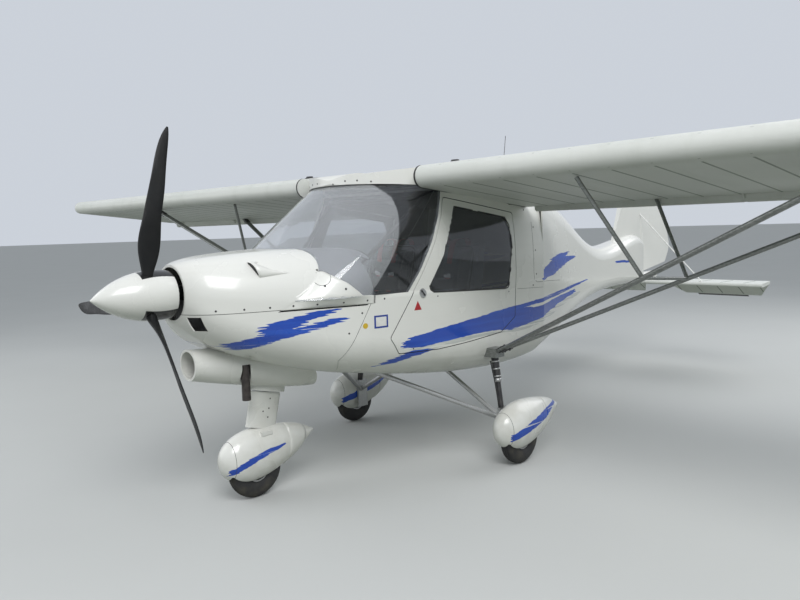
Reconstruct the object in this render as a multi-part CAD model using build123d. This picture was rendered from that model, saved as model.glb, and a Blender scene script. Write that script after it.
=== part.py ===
from build123d import *
import os
from math import cos, radians, sin

# A two-seat high-wing ultralight aircraft parked on its nose-wheel gear.
# Millimetres. +X points forward, +Y to port, +Z up. The ground is Z = 0,
# and the origin is midway between the spinner tip and the rudder's back edge.

os.makedirs("parts", exist_ok=True)

PORT = 1
STARBOARD = -1
SIDES = (("left", PORT), ("right", STARBOARD))
GAP = 5.0

# Whole aircraft
NOSE_X = 3100.0
TAIL_X = -3100.0
HALF_SPAN = 4725.0
FIN_TOP = 2320.0

# Propeller and spinner
HUB_X = 2830.0
HUB_Z = 1213.0
PROP_RADIUS = 870.0
BLADE_COUNT = 3
FIRST_BLADE_DEG = 22.3
SPINNER_RADIUS = 127.0
SPINNER_BACK_X = 2702.0
SHAFT_RADIUS = 38.0

# Cowling
RING_X = 2684.0
RING_RADIUS = 150.0
COWL_WALL = 12.0
WAIST_Z = 1112.0
WAIST_GAP = 3.0
SEAM_TOP_X = 1790.0
SEAM_LOW_X = 1960.0
COWL_BACK_X = 1760.0
MOUTH_X = 2613.0
MOUTH_Z = 826.0
MOUTH_RADIUS = 84.0

# Cabin
CABIN_WALL = 22.0
CABIN_BACK_X = 150.0
GLASS = 6.0
SCREEN_APEX_X = 2068.0
SCREEN_APEX_Z = 1420.0
ROOF_FRONT_X = 1600.0
ROOF_FRONT_Z = 1790.0
ROOF_BACK_Z = 1690.0

# Wing
WING_LE_X = 1430.0
WING_LE_Z = 1825.0
WING_ROOT_Y = 556.0
WING_CHORD = 1105.0
TIP_RISE = 22.0
FLAP_HINGE = (318.0, 1620.0)
FLAP_CHORD = 191.0
FLAP_ROOT_Y = 640.0
FLAP_TIP_Y = 4380.0

# Struts
STRUT_FOOT = (797.0, 647.0, 704.0)
FRONT_STRUT_TOP = (1310.0, 2856.0, 1742.0)
REAR_STRUT_TOP = (388.0, 2856.0, 1656.0)

# Tail
STAB_LE_X = -2385.0
STAB_Z = 909.0
STAB_HALF = 1200.0
STAB_CHORD = 400.0
ELEVATOR_CHORD = 300.0
ELEVATOR_DROOP = 30.0
FIN_HINGE_X = -2440.0
RUDDER_LOW_Z = 1010.0

# Undercarriage
WHEEL_RADIUS = 168.0
TYRE_HALF_WIDTH = 46.0
RIM_RADIUS = 72.0
MAIN_X = 770.0
MAIN_Y = 800.0
NOSE_RAKE_DEG = 13.0
AXLE_RADIUS = 12.0
GEAR_Y = 688.0
PANT_WALL = 6.0
PANT_CUT_Z = 112.0
NOSE_AXLE = (2233.0, 168.0)
LEG_CUFF = (2134.0, 606.0)
LEG_TOP = 330.0
LEG_RADIUS = 26.0
FIREWALL_X = 1985.0
SHAFT_BACK_X = 2585.0
ENGINE_BACK_X = 2120.0
FLOOR_Z = 700.0
BOOM_RADIUS = 38.0
BOOM_Z = 966.0

# Blade sections: radius, chord, thickness, pitch in degrees, back edge's distance from the blade's axis
BLADE_STATIONS = (
    (60, 60, 52, 45, 30),
    (150, 66, 44, 45, 36),
    (230, 108, 24, 38, 44),
    (440, 105, 15, 24, 40),
    (690, 82, 9, 17, 38),
    (830, 46, 6, 13, 36),
    (PROP_RADIUS, 12, 3, 12, 30),
)
# Wheel fairing frames: x from the axle, half width, low z, high z
PANT_FRAMES = (
    (-425, 6, 296, 312),
    (-330, 44, 230, 360),
    (-160, 88, 140, 398),
    (0, 101, 96, 406),
    (130, 92, 112, 376),
    (195, 62, 160, 330),
    (223, 24, 212, 284),
    (228, 6, 238, 262),
)


def tube(start, end, radius):
    """A round bar between two points."""
    line = Edge.make_line(start, end)
    plane = Plane(origin=start, z_dir=line % 0)
    return extrude(plane * Circle(radius), amount=line.length)


def streamlined_tube(start, end, chord, thickness):
    """An oval bar between two points, its long axis fore and aft."""
    line = Edge.make_line(start, end)
    plane = Plane(origin=start, x_dir=(1, 0, 0), z_dir=line % 0)
    return extrude(plane * Ellipse(chord / 2, thickness / 2), amount=line.length)


def slab(face, low_y, high_y):
    """A flat face in the plane Y = 0 made into a solid between two Y planes."""
    return extrude(face.moved(Location((0, low_y, 0))), amount=high_y - low_y, dir=(0, 1, 0))


def side_prism(points, low_y, high_y, round_off=0.0):
    """A solid between two Y planes from an X, Z outline with rounded corners."""
    outline = Plane.XZ * Polyline(*points, close=True)
    face = make_face(outline)
    if round_off:
        face = fillet(face.vertices(), round_off)
    return slab(face, low_y, high_y)


def rounded_section(x, half_width, low, high, low_radius, high_radius, inset=0.0):
    """A fuselage frame: a box outline with round corners, in the plane X = x."""
    w = half_width - inset
    zl = low + inset
    zh = high - inset
    rl = max(low_radius - inset, 8.0)
    rh = max(high_radius - inset, 8.0)
    k = cos(radians(45))
    edges = [Line((x, -w + rl, zl), (x, w - rl, zl))]
    for sy, sz, z_edge, r in ((1, -1, zl, rl), (1, 1, zh, rh), (-1, 1, zh, rh), (-1, -1, zl, rl)):
        cy = sy * (w - r)
        cz = z_edge - sz * r
        on_flat = (x, cy, z_edge)
        on_side = (x, sy * w, cz)
        middle = (x, cy + sy * r * k, cz + sz * r * k)
        edges.append(ThreePointArc(on_flat, middle, on_side))
    edges.append(Line((x, w, zl + rl), (x, w, zh - rh)))
    edges.append(Line((x, w - rh, zh), (x, -w + rh, zh)))
    edges.append(Line((x, -w, zh - rh), (x, -w, zl + rl)))
    return make_face(edges)


def frame_loft(stations, inset=0.0):
    return loft([rounded_section(*station, inset=inset) for station in stations])


def box_between(low, high):
    size = [b - a for a, b in zip(low, high)]
    centre = [(a + b) / 2 for a, b in zip(low, high)]
    return Pos(*centre) * Box(*size)


def mirrored(shape, side):
    return shape if side == PORT else mirror(shape, about=Plane.XZ)


def largest(shape):
    return max(shape.solids(), key=lambda solid: solid.volume)


def save(name, shape):
    solids = shape.solids()
    export_step(solids[0] if len(solids) == 1 else Compound(children=list(solids)), f"parts/{name}.step")


# Body frames: x, half width, low z, high z, low corner radius, high corner radius
COWL_FRAMES = (
    (RING_X, RING_RADIUS, HUB_Z - 150, HUB_Z + 150, 147, 147),
    (2590, 262, 965, 1386, 170, 205),
    (2400, 355, 862, 1406, 190, 250),
    (2150, 440, 775, 1418, 210, 290),
    (1860, 535, 705, 1417, 220, 310),
    (COWL_BACK_X, 556, 690, 1412, 225, 315),
)
CHIN_FRAMES = (
    (MOUTH_X, MOUTH_RADIUS, MOUTH_Z - 84, MOUTH_Z + 84, 82, 82),
    (2400, 112, 690, 900, 104, 104),
    (2100, 165, 630, 880, 120, 120),
    (1860, 190, 603, 850, 120, 120),
    (COWL_BACK_X, 185, 605, 850, 110, 110),
)
LOWER_FRAMES = (
    (COWL_BACK_X, 556, 690, 1190, 225, 60),
    (1450, 597, 640, 1190, 220, 60),
    (1000, 612, 585, 1190, 215, 60),
    (500, 604, 560, 1190, 215, 60),
    (CABIN_BACK_X, 580, 575, 1190, 215, 60),
)
REAR_FRAMES = (
    (CABIN_BACK_X, 572, 575, 1752, 215, 130),
    (-315, 440, 665, 1672, 180, 170),
    (-780, 315, 780, 1508, 150, 170),
    (-1290, 205, 878, 1322, 110, 130),
    (-1877, 130, 915, 1340, 85, 100),
    (FIN_HINGE_X + 24, 55, 940, 1330, 45, 50),
)
# Glasshouse outlines: z, front x, corner x, corner half width, middle half width, back half width
GLASSHOUSE = (
    (1100, 2460, 1835, 543, 612, 578),
    (SCREEN_APEX_Z, SCREEN_APEX_X, 1560, 588, 606, 570),
    (1810, 1556, 1180, 540, 538, 500),
)


def glasshouse_outline(z, front, corner_x, corner_half, middle_half, back_half, inset=0.0):
    front -= inset * 1.4
    a = corner_half - inset
    m = middle_half - inset
    b = back_half - inset
    mid_x = (corner_x + CABIN_BACK_X) / 2
    edges = [ThreePointArc((corner_x, -a, z), (front, 0, z), (corner_x, a, z))]
    edges.append(ThreePointArc((corner_x, a, z), (mid_x, m, z), (CABIN_BACK_X, b, z)))
    edges.append(Line((CABIN_BACK_X, b, z), (CABIN_BACK_X, -b, z)))
    edges.append(ThreePointArc((CABIN_BACK_X, -b, z), (mid_x, -m, z), (corner_x, -a, z)))
    return make_face(edges)


def under_roof(inset=0.0):
    """Everything below the roof line, which falls towards the back."""
    low = 300
    points = (
        (2900, low),
        (2900, ROOF_FRONT_Z - inset),
        (ROOF_FRONT_X, ROOF_FRONT_Z - inset),
        (CABIN_BACK_X, ROOF_BACK_Z - inset),
        (CABIN_BACK_X, low),
    )
    return side_prism(points, -900, 900)


def glasshouse(inset=0.0):
    body = loft([glasshouse_outline(*row, inset=inset) for row in GLASSHOUSE])
    return body & under_roof(inset)


cowl_outer = frame_loft(COWL_FRAMES)
chin_outer = frame_loft(CHIN_FRAMES)
lower_outer = frame_loft(LOWER_FRAMES)
glass_outer = glasshouse()
cabin_outer = lower_outer + glass_outer
cabin_inner = frame_loft(LOWER_FRAMES, CABIN_WALL) + glasshouse(CABIN_WALL)
rear_outer = frame_loft(REAR_FRAMES)

# Side-view outlines, as x, z
DOOR_OUTLINE = (
    (1200, 1700), (1240, 1580), (1310, 1432), (1412, 1268), (1515, 1118),
    (1600, 1000), (1672, 900), (1600, 798), (1297, 788), (1016, 798), (690, 818),
    (530, 905), (512, 1218), (506, 1603),
)
WINDOW_OUTLINE = (
    (1108, 1640), (604, 1570), (556, 1480), (550, 1370), (600, 1124),
    (650, 1105), (1345, 1138), (1363, 1175), (1240, 1351), (1160, 1528),
)
SCREEN_BACK = (
    (2900, 300), (2900, 1900), (1160, 1900), (1222, 1690), (1262, 1580), (1332, 1436),
    (1434, 1272), (1530, 1150), (1600, 1000), (1600, 300),
)


def make_cowls():
    skin = cowl_outer + chin_outer
    hollow = frame_loft(COWL_FRAMES, COWL_WALL) + frame_loft(CHIN_FRAMES, COWL_WALL)
    mouth = Pos(MOUTH_X, 0, MOUTH_Z) * Rot(0, 90, 0) * Cylinder(MOUTH_RADIUS - COWL_WALL, 120)
    shaft_hole = Pos(RING_X, 0, HUB_Z) * Rot(0, 90, 0) * Cylinder(112, 120)
    shell = skin - hollow - mouth - shaft_hole
    for side in (PORT, STARBOARD):
        nostril = Pos(2640, side * 168, 1060) * Box(110, 78, 74)
        shell -= nostril
    shell -= glass_outer
    upper_block = box_between((COWL_BACK_X, -800, WAIST_Z), (2900, 800, 1600))
    cuff = extrude(leg_plane(0) * Ellipse(125, 55), amount=80) - frame_loft(CHIN_FRAMES, COWL_WALL)
    shell += cuff
    shell -= tube(leg_point(-20), leg_point(200), LEG_RADIUS + 8)
    shell -= tube((2330, 105, 800), (2330, 105, 590), 30)
    seam = ((2900, 400), (2900, WAIST_Z - WAIST_GAP), (SEAM_TOP_X, WAIST_Z - WAIST_GAP),
            (SEAM_LOW_X, 800), (SEAM_LOW_X - 60, 690), (SEAM_LOW_X - 160, 400))
    upper = shell & upper_block
    lower = shell & side_prism(seam, -800, 800)
    return upper, lower


def make_cabin():
    """The moulded lower body, posts and roof edge, with door and screen openings."""
    nose_part = cowl_outer & box_between((COWL_BACK_X, -800, 300), (SEAM_LOW_X + 60, 800, WAIST_Z - WAIST_GAP))
    nose_hollow = frame_loft(COWL_FRAMES, CABIN_WALL)
    seam_front = ((2900, 400), (2900, WAIST_Z + 20), (SEAM_TOP_X - WAIST_GAP, WAIST_Z + 20),
                  (SEAM_TOP_X - WAIST_GAP, WAIST_Z - 3), (SEAM_LOW_X - WAIST_GAP, 800),
                  (SEAM_LOW_X - 60 - WAIST_GAP, 690), (SEAM_LOW_X - 160 - WAIST_GAP, 400))
    behind_cowl = box_between((CABIN_BACK_X, -900, 300), (COWL_BACK_X, 900, 1900))
    body = (cabin_outer & behind_cowl) + (nose_part - side_prism(seam_front, -900, 900))
    body -= cabin_inner
    body -= nose_hollow & box_between((COWL_BACK_X - 1, -800, 300), (2000, 800, WAIST_Z + 60))
    body -= side_prism(SCREEN_BACK, -900, 900) & box_between((1000, -900, 1152), (2900, 900, 1900))
    for side in (PORT, STARBOARD):
        cutter = side_prism(DOOR_OUTLINE, 300, 900, 24)
        body -= mirrored(cutter, side)
    body -= side_prism(seam_front, -900, 900)
    return body


def door_outline_inset(gap):
    face = make_face(Plane.XZ * Polyline(*DOOR_OUTLINE, close=True))
    face = fillet(face.vertices(), 24)
    return offset(face, -gap)


def make_door():
    blank = slab(door_outline_inset(GAP), 300, 900)
    panel = (cabin_outer - cabin_inner) & blank
    window = side_prism(WINDOW_OUTLINE, 300, 900, 30)
    door = panel - window
    glass_band = (frame_loft(LOWER_FRAMES, 3) + glasshouse(3)) - (frame_loft(LOWER_FRAMES, 3 + GLASS) + glasshouse(3 + GLASS))
    glass = glass_band & window
    return door, glass


def make_windscreen():
    band = glasshouse() - glasshouse(GLASS)
    front = side_prism(SCREEN_BACK, -900, 900) & box_between((1000, -900, 1152), (2900, 900, 1900))
    return (band & front) - cowl_outer


def make_rear_fuselage():
    inner = frame_loft(REAR_FRAMES[:-1], COWL_WALL)
    return rear_outer - inner


def make_roof_fairing():
    k = ROOF_FRONT_X
    edges = [
        Line((CABIN_BACK_X, ROOF_BACK_Z), (k, ROOF_FRONT_Z)),
        ThreePointArc((k, ROOF_FRONT_Z), (k + 4, 1822), (k - 60, 1846)),
        ThreePointArc((k - 60, 1846), (1050, 1888), (CABIN_BACK_X, 1752)),
        Line((CABIN_BACK_X, 1752), (CABIN_BACK_X, ROOF_BACK_Z)),
    ]
    profile = make_face([Plane.XZ * e for e in edges])
    half = WING_ROOT_Y - 8
    block = slab(profile, -half, half)
    arc = make_face([
        ThreePointArc((1230, -half), (ROOF_FRONT_X + 4, 0), (1230, half)),
        Polyline((1230, half), (100, half), (100, -half), (1230, -half)),
    ])
    return block & extrude(Plane.XY.offset(1600) * arc, amount=400)


def wing_section(y, le_x, chord, rise, thick=1.0):
    """One rib: a round nose, an arched top and a flat underside."""
    def at(u, w):
        return (le_x - u * chord, y, WING_LE_Z + rise + w * chord * thick)
    tail = -0.155 / thick
    edges = [
        ThreePointArc(at(0.054, -0.068), at(0.0, 0.0), at(0.072, 0.047)),
        ThreePointArc(at(0.072, 0.047), at(0.40, 0.060), at(1.0, tail)),
        Line(at(1.0, tail), at(1.0, tail - 0.014)),
        Line(at(1.0, tail - 0.014), at(0.054, -0.068)),
    ]
    return make_face(edges)


def make_wing():
    main = loft([
        wing_section(WING_ROOT_Y, WING_LE_X, WING_CHORD, 0),
        wing_section(HALF_SPAN - 270, WING_LE_X, WING_CHORD, TIP_RISE),
    ])
    tip = loft([
        wing_section(HALF_SPAN - 270, WING_LE_X, WING_CHORD, TIP_RISE),
        wing_section(HALF_SPAN - 80, WING_LE_X - 55, WING_CHORD - 90, TIP_RISE - 6, 0.8),
        wing_section(HALF_SPAN, WING_LE_X - 230, WING_CHORD - 400, TIP_RISE - 30, 0.35),
    ])
    wing = main + tip
    hx, hz = FLAP_HINGE
    for y in FLAP_BRACKETS:
        plate = side_prism(((hx + 90, hz + 60), (hx + 12, hz - 12), (hx - 12, hz - 12), (hx - 6, hz + 60)), y - 4, y + 4)
        wing += plate
    return wing


FLAP_BRACKETS = (900.0, 2000.0, 3100.0, 4200.0)


def make_flaperon():
    hx, hz = FLAP_HINGE
    nose = 15.0
    edges = [
        ThreePointArc((hx, hz - nose), (hx + nose, hz), (hx, hz + nose)),
        Line((hx, hz + nose), (hx - FLAP_CHORD, hz + 13)),
        Line((hx - FLAP_CHORD, hz + 13), (hx - FLAP_CHORD, hz + 9)),
        Line((hx - FLAP_CHORD, hz + 9), (hx, hz - nose)),
    ]
    profile = make_face([Plane.XZ * e for e in edges])
    flap = slab(profile, FLAP_ROOT_Y, FLAP_TIP_Y)
    for y in FLAP_BRACKETS:
        flap -= Pos(hx + 2, y, hz) * Box(44, 18, 60)
    return flap


def make_wing_struts():
    front = streamlined_tube(STRUT_FOOT, FRONT_STRUT_TOP, 58, 28)
    rear = streamlined_tube(STRUT_FOOT, REAR_STRUT_TOP, 50, 26)
    x, y, z = STRUT_FOOT
    foot = box_between((x - 45, y - 90, z - 30), (x + 45, y + 30, z + 30))
    return front + rear + (foot - cabin_outer)


def along(start, end, t):
    return tuple(a + (b - a) * t for a, b in zip(start, end))


def make_jury_struts(struts):
    low_front = along(STRUT_FOOT, FRONT_STRUT_TOP, 0.51)
    low_rear = along(STRUT_FOOT, REAR_STRUT_TOP, 0.52)
    top_front = (1310, 1550, 1742)
    top_rear = (345, 1500, 1652)
    parts = tube(low_front, top_front, 11) + tube(low_rear, top_rear, 11) + tube(low_front, low_rear, 9)
    return parts - struts


def taper_in_plan(front_x, back_x, front_half, back_half):
    outline = Polyline((front_x, -front_half), (front_x, front_half), (back_x, back_half), (back_x, -back_half), close=True)
    return extrude(Plane.XY.offset(600) * make_face(outline), amount=2200)


def make_fin():
    back = FIN_HINGE_X + 23
    outline = ((back, 1200), (-1790, 1200), (-1875, 1340), (-2310, FIN_TOP), (back, FIN_TOP))
    plate = side_prism(outline, -30, 30, 0)
    nose = extrude(Plane.XY.offset(1100) * make_face([
        ThreePointArc((back, -20), (-2250, -26), (-1780, 0)),
        ThreePointArc((-1780, 0), (-2250, 26), (back, 20)),
        Line((back, 20), (back, -20)),
    ]), amount=1400)
    return (plate & nose) - rear_outer


def make_rudder():
    x = FIN_HINGE_X
    outline = (
        (x, RUDDER_LOW_Z), (x, FIN_TOP), (-2660, FIN_TOP - 12), (-2730, FIN_TOP - 70),
        (TAIL_X + 200, 1728), (TAIL_X, 1290), (TAIL_X + 15, 1200), (TAIL_X + 100, 1085),
    )
    blade = side_prism(outline, -30, 30) & taper_in_plan(x, TAIL_X - 5, 17, 4)
    post = Pos(x, 0, (RUDDER_LOW_Z + FIN_TOP) / 2) * Cylinder(17, FIN_TOP - RUDDER_LOW_Z)
    return blade + post


def make_tail_boom():
    boom = tube((-2300, 0, BOOM_Z), (STAB_LE_X - STAB_CHORD + 25, 0, BOOM_Z), BOOM_RADIUS)
    return boom


def make_stabiliser():
    back = STAB_LE_X - STAB_CHORD + 20
    outline = Polyline((STAB_LE_X, -STAB_HALF), (STAB_LE_X, STAB_HALF), (back, STAB_HALF - 60),
                       (back, -STAB_HALF + 60), close=True)
    plan = extrude(Plane.XY.offset(STAB_Z - 30) * make_face(outline), amount=60)
    k = STAB_LE_X
    profile = make_face([Plane.XZ * e for e in (
        ThreePointArc((k - 18, STAB_Z - 17), (k, STAB_Z), (k - 18, STAB_Z + 17)),
        Line((k - 18, STAB_Z + 17), (back, STAB_Z + 15)),
        Line((back, STAB_Z + 15), (back, STAB_Z - 15)),
        Line((back, STAB_Z - 15), (k - 18, STAB_Z - 17)),
    )])
    return plan & slab(profile, -STAB_HALF, STAB_HALF)


def make_elevator():
    parts = Rot(90, 0, 0) * Cylinder(14, 2 * (STAB_HALF - 65))
    wedge = side_prism(((0, 14), (0, -14), (-ELEVATOR_CHORD, -4), (-ELEVATOR_CHORD, 4)), -STAB_HALF, STAB_HALF)
    for side in (PORT, STARBOARD):
        outline = Polyline((0, side * 90), (0, side * (STAB_HALF - 65)), (-ELEVATOR_CHORD, side * (STAB_HALF - 220)),
                           (-ELEVATOR_CHORD, side * 230), close=True)
        parts += extrude(Plane.XY.offset(-20) * make_face(outline), amount=40) & wedge
    return Pos(STAB_LE_X - STAB_CHORD, 0, STAB_Z) * Rot(0, -ELEVATOR_DROOP, 0) * parts


def make_tail_stays():
    stays = None
    for side in (PORT, STARBOARD):
        stay = tube((-2400, side * 14, 1600), (-2440, side * 640, STAB_Z + 12), 6)
        stays = stay if stays is None else stays + stay
    return stays


def make_spinner():
    base = SPINNER_BACK_X
    profile = make_face([
        Line((base, 0), (base, SPINNER_RADIUS - 3)),
        ThreePointArc((base, SPINNER_RADIUS - 3), (2905, 112), (NOSE_X, 0)),
        Line((NOSE_X, 0), (base, 0)),
    ])
    body = revolve(profile, Axis.X)
    return Pos(0, 0, HUB_Z) * body


def blade_station(radius, chord, thick, pitch_deg, back_edge):
    """A blade section at one radius, blade pointing up, leading edge to starboard and forward."""
    centre_y = back_edge - chord / 2
    plane = Plane(origin=(0, centre_y, radius), x_dir=(sin(radians(pitch_deg)), -cos(radians(pitch_deg)), 0),
                  z_dir=(0, 0, 1))
    return plane * Ellipse(chord / 2, thick / 2)


def make_blade():
    return loft([blade_station(*row) for row in BLADE_STATIONS])


def make_propeller():
    blade = make_blade()
    prop = Rot(0, 90, 0) * Cylinder(70, 60)
    for k in range(BLADE_COUNT):
        prop += Rot(-FIRST_BLADE_DEG - k * 360 / BLADE_COUNT, 0, 0) * blade
    prop = Pos(HUB_X, 0, HUB_Z) * prop
    prop += tube((SHAFT_BACK_X, 0, HUB_Z), (HUB_X, 0, HUB_Z), SHAFT_RADIUS)
    return prop


def make_engine():
    return box_between((ENGINE_BACK_X, -165, 1005), (SHAFT_BACK_X - GAP, 165, 1250))


def make_exhaust():
    return tube((2330, 105, 800), (2330, 105, 600), 24)


def leg_point(t):
    """A point on the steering axis, t above the cowling's cuff."""
    x, z = LEG_CUFF
    return (x - t * sin(radians(NOSE_RAKE_DEG)), 0, z + t * cos(radians(NOSE_RAKE_DEG)))


def leg_plane(t):
    return Plane(origin=leg_point(t), x_dir=(cos(radians(NOSE_RAKE_DEG)), 0, sin(radians(NOSE_RAKE_DEG))),
                 z_dir=(-sin(radians(NOSE_RAKE_DEG)), 0, cos(radians(NOSE_RAKE_DEG))))


def make_nose_leg():
    fairing = extrude(leg_plane(-215) * Ellipse(102, 32), amount=208)
    leg = tube(leg_point(-240), leg_point(LEG_TOP), LEG_RADIUS)
    x, z = NOSE_AXLE
    crown = Pos(x - 45, 0, 376) * Box(70, 152, 22)
    fork = None
    for side in (PORT, STARBOARD):
        plate = side_prism(((x - 75, 380), (x - 15, 380), (x + 18, z - 20), (x - 18, z - 20)), side * 66 - 5, side * 66 + 5)
        fork = plate if fork is None else fork + plate
    axle = Pos(x, 0, z) * Rot(90, 0, 0) * Cylinder(AXLE_RADIUS, 142)
    return fairing + leg + crown + fork + axle


def make_leg_bearing():
    sleeve = tube(leg_point(130), leg_point(300), LEG_RADIUS + 16)
    x = leg_point(215)[0]
    z = leg_point(215)[2]
    arm = box_between((FIREWALL_X + 10, -35, z - 60), (x, 35, z + 60))
    hole = tube(leg_point(100), leg_point(330), LEG_RADIUS + 0.1)
    return sleeve + arm - hole


def pant(x, y, z_shift, inset=0.0):
    frames = []
    for dx, half_width, low, high in (PANT_FRAMES[1:-1] if inset else PANT_FRAMES):
        plane = Plane(origin=(x + dx, y, z_shift + (low + high) / 2), x_dir=(0, 1, 0), z_dir=(1, 0, 0))
        frames.append(plane * Ellipse(half_width - inset, (high - low) / 2 - inset))
    return loft(frames)


def make_pant(x, y, z_shift=0.0):
    shell = pant(x, y, z_shift) - pant(x, y, z_shift, PANT_WALL)
    shell -= box_between((x - 900, y - 200, 0), (x + 500, y + 200, PANT_CUT_Z))
    slot_half = WHEEL_RADIUS + 12
    shell -= box_between((x - slot_half, y - TYRE_HALF_WIDTH - 9, 0), (x + slot_half, y + TYRE_HALF_WIDTH + 9, WHEEL_RADIUS))
    return shell


def make_tyre(x, y):
    w = TYRE_HALF_WIDTH
    r = WHEEL_RADIUS
    profile = make_face([
        Line((-w + 12, RIM_RADIUS), (w - 12, RIM_RADIUS)),
        ThreePointArc((w - 12, RIM_RADIUS), (w, r - 52), (w - 22, r - 10)),
        ThreePointArc((w - 22, r - 10), (0, r), (-w + 22, r - 10)),
        ThreePointArc((-w + 22, r - 10), (-w, r - 52), (-w + 12, RIM_RADIUS)),
    ])
    return Pos(x, y, r) * Rot(0, 0, 90) * revolve(profile, Axis.X)


def make_rim(x, y):
    w = TYRE_HALF_WIDTH
    r = RIM_RADIUS
    bore = AXLE_RADIUS + 0.05
    profile = make_face(Polyline(
        (-w + 2, bore), (w - 2, bore), (w - 2, 24), (8, 30), (8, r - 14), (w - 12, r - 8), (w - 12, r),
        (-w + 12, r), (-w + 12, r - 8), (-8, r - 14), (-8, 30), (-w + 2, 24), close=True))
    return Pos(x, y, WHEEL_RADIUS) * Rot(0, 0, 90) * revolve(profile, Axis.X)


def make_gear_arms():
    knee = (MAIN_X + 30, GEAR_Y - 4, 275)
    front = tube((1500, 140, 655), knee, 15)
    rear = tube((800, 140, 580), knee, 15)
    upright = box_between((MAIN_X - 28, GEAR_Y - 14, WHEEL_RADIUS - 28), (MAIN_X + 62, GEAR_Y + 6, 350))
    axle = Pos(MAIN_X, (GEAR_Y + MAIN_Y + 58) / 2, WHEEL_RADIUS) * Rot(90, 0, 0) * Cylinder(
        AXLE_RADIUS, MAIN_Y + 58 - GEAR_Y)
    return (front + rear - cabin_outer) + upright + axle


def make_spring_strut():
    x, y, z = STRUT_FOOT
    top = (x - 8, y - 20, z - 32)
    low = (MAIN_X + 32, GEAR_Y - 4, 352)
    middle = along(top, low, 0.45)
    return tube(top, middle, 24) + tube(middle, low, 17)


def make_floor():
    inner = frame_loft(LOWER_FRAMES, CABIN_WALL)
    return inner & box_between((CABIN_BACK_X, -700, FLOOR_Z - 10), (COWL_BACK_X, 700, FLOOR_Z))


def make_firewall():
    inner = frame_loft(COWL_FRAMES, CABIN_WALL + 1)
    return inner & box_between((FIREWALL_X, -700, 600), (FIREWALL_X + 10, 700, 1400))


def make_instrument_panel():
    hood = (frame_loft(COWL_FRAMES, 1) - frame_loft(COWL_FRAMES, 10)) & glasshouse(GLASS + 2)
    hood &= box_between((COWL_BACK_X, -700, WAIST_Z + 45), (2300, 700, 1500))
    board = frame_loft(COWL_FRAMES, CABIN_WALL + 4) & box_between((COWL_BACK_X, -700, 1050), (COWL_BACK_X + 14, 700, 1500))
    board &= glasshouse(CABIN_WALL + 4)
    return hood + board


def make_seat():
    outline = (
        (790, FLOOR_Z), (1290, FLOOR_Z), (1310, 850), (930, 815), (800, 1420), (715, 1440), (700, 1400),
    )
    return side_prism(outline, 30, 500, 18)


def make_stick():
    return tube((1400, 0, FLOOR_Z), (1380, 0, 1040), 12)


def make_cabin_frame():
    parts = tube((1230, -452, 1700), (1230, 452, 1700), 16)
    for side in (PORT, STARBOARD):
        parts += tube((1230, side * 440, 1700), (1700, side * 300, 1260), 14)
    return parts


def main():
    upper, lower = make_cowls()
    save("cowl_upper", largest(upper))
    save("cowl_lower", largest(lower))
    save("cabin_shell", make_cabin())
    door, glass = make_door()
    wing = make_wing() - cabin_outer
    flap = make_flaperon()
    struts = make_wing_struts() - wing
    jury = make_jury_struts(struts) - wing
    arms = make_gear_arms()
    spring = make_spring_strut() - struts - arms
    tyre = make_tyre(MAIN_X, MAIN_Y)
    rim = make_rim(MAIN_X, MAIN_Y)
    main_pant = make_pant(MAIN_X, MAIN_Y) - Pos(MAIN_X, GEAR_Y, WHEEL_RADIUS) * Rot(90, 0, 0) * Cylinder(20, 120)
    main_pant -= arms
    seat = make_seat()
    for name, side in SIDES:
        save(f"door_{name}", mirrored(door, side))
        save(f"door_glass_{name}", mirrored(glass, side))
        save(f"wing_{name}", mirrored(wing, side))
        save(f"flaperon_{name}", mirrored(flap, side))
        save(f"wing_struts_{name}", mirrored(struts, side))
        save(f"jury_struts_{name}", mirrored(jury, side))
        save(f"gear_arms_{name}", mirrored(arms, side))
        save(f"spring_strut_{name}", mirrored(spring, side))
        save(f"main_tyre_{name}", mirrored(tyre, side))
        save(f"main_rim_{name}", mirrored(rim, side))
        save(f"main_pant_{name}", mirrored(main_pant, side))
        save(f"seat_{name}", mirrored(seat, side))
    save("windscreen", make_windscreen())
    save("rear_fuselage", make_rear_fuselage() - make_tail_boom())
    save("roof_fairing", make_roof_fairing())
    fin = make_fin()
    save("fin", fin)
    save("rudder", make_rudder())
    save("tail_boom", make_tail_boom())
    stabiliser = make_stabiliser()
    save("stabiliser", stabiliser)
    save("elevator", make_elevator())
    save("tail_stays", make_tail_stays() - fin - stabiliser)
    prop = make_propeller()
    save("propeller", prop)
    save("spinner", make_spinner() - prop)
    save("engine_block", make_engine())
    save("exhaust_pipe", make_exhaust())
    leg = make_nose_leg()
    save("nose_leg", leg)
    save("leg_bearing", make_leg_bearing())
    save("nose_pant", make_pant(NOSE_AXLE[0], 0) - leg)
    save("nose_tyre", make_tyre(NOSE_AXLE[0], 0))
    save("nose_rim", make_rim(NOSE_AXLE[0], 0))
    floor = make_floor()
    save("cabin_floor", floor)
    save("firewall", make_firewall())
    save("instrument_panel", make_instrument_panel())
    save("control_stick", make_stick() - floor)
    save("cabin_frame", make_cabin_frame())


main()
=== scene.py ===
import bmesh
import bpy
from math import cos, exp, pi, radians, sin
from mathutils import Matrix, Vector
from mathutils.bvhtree import BVHTree


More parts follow.
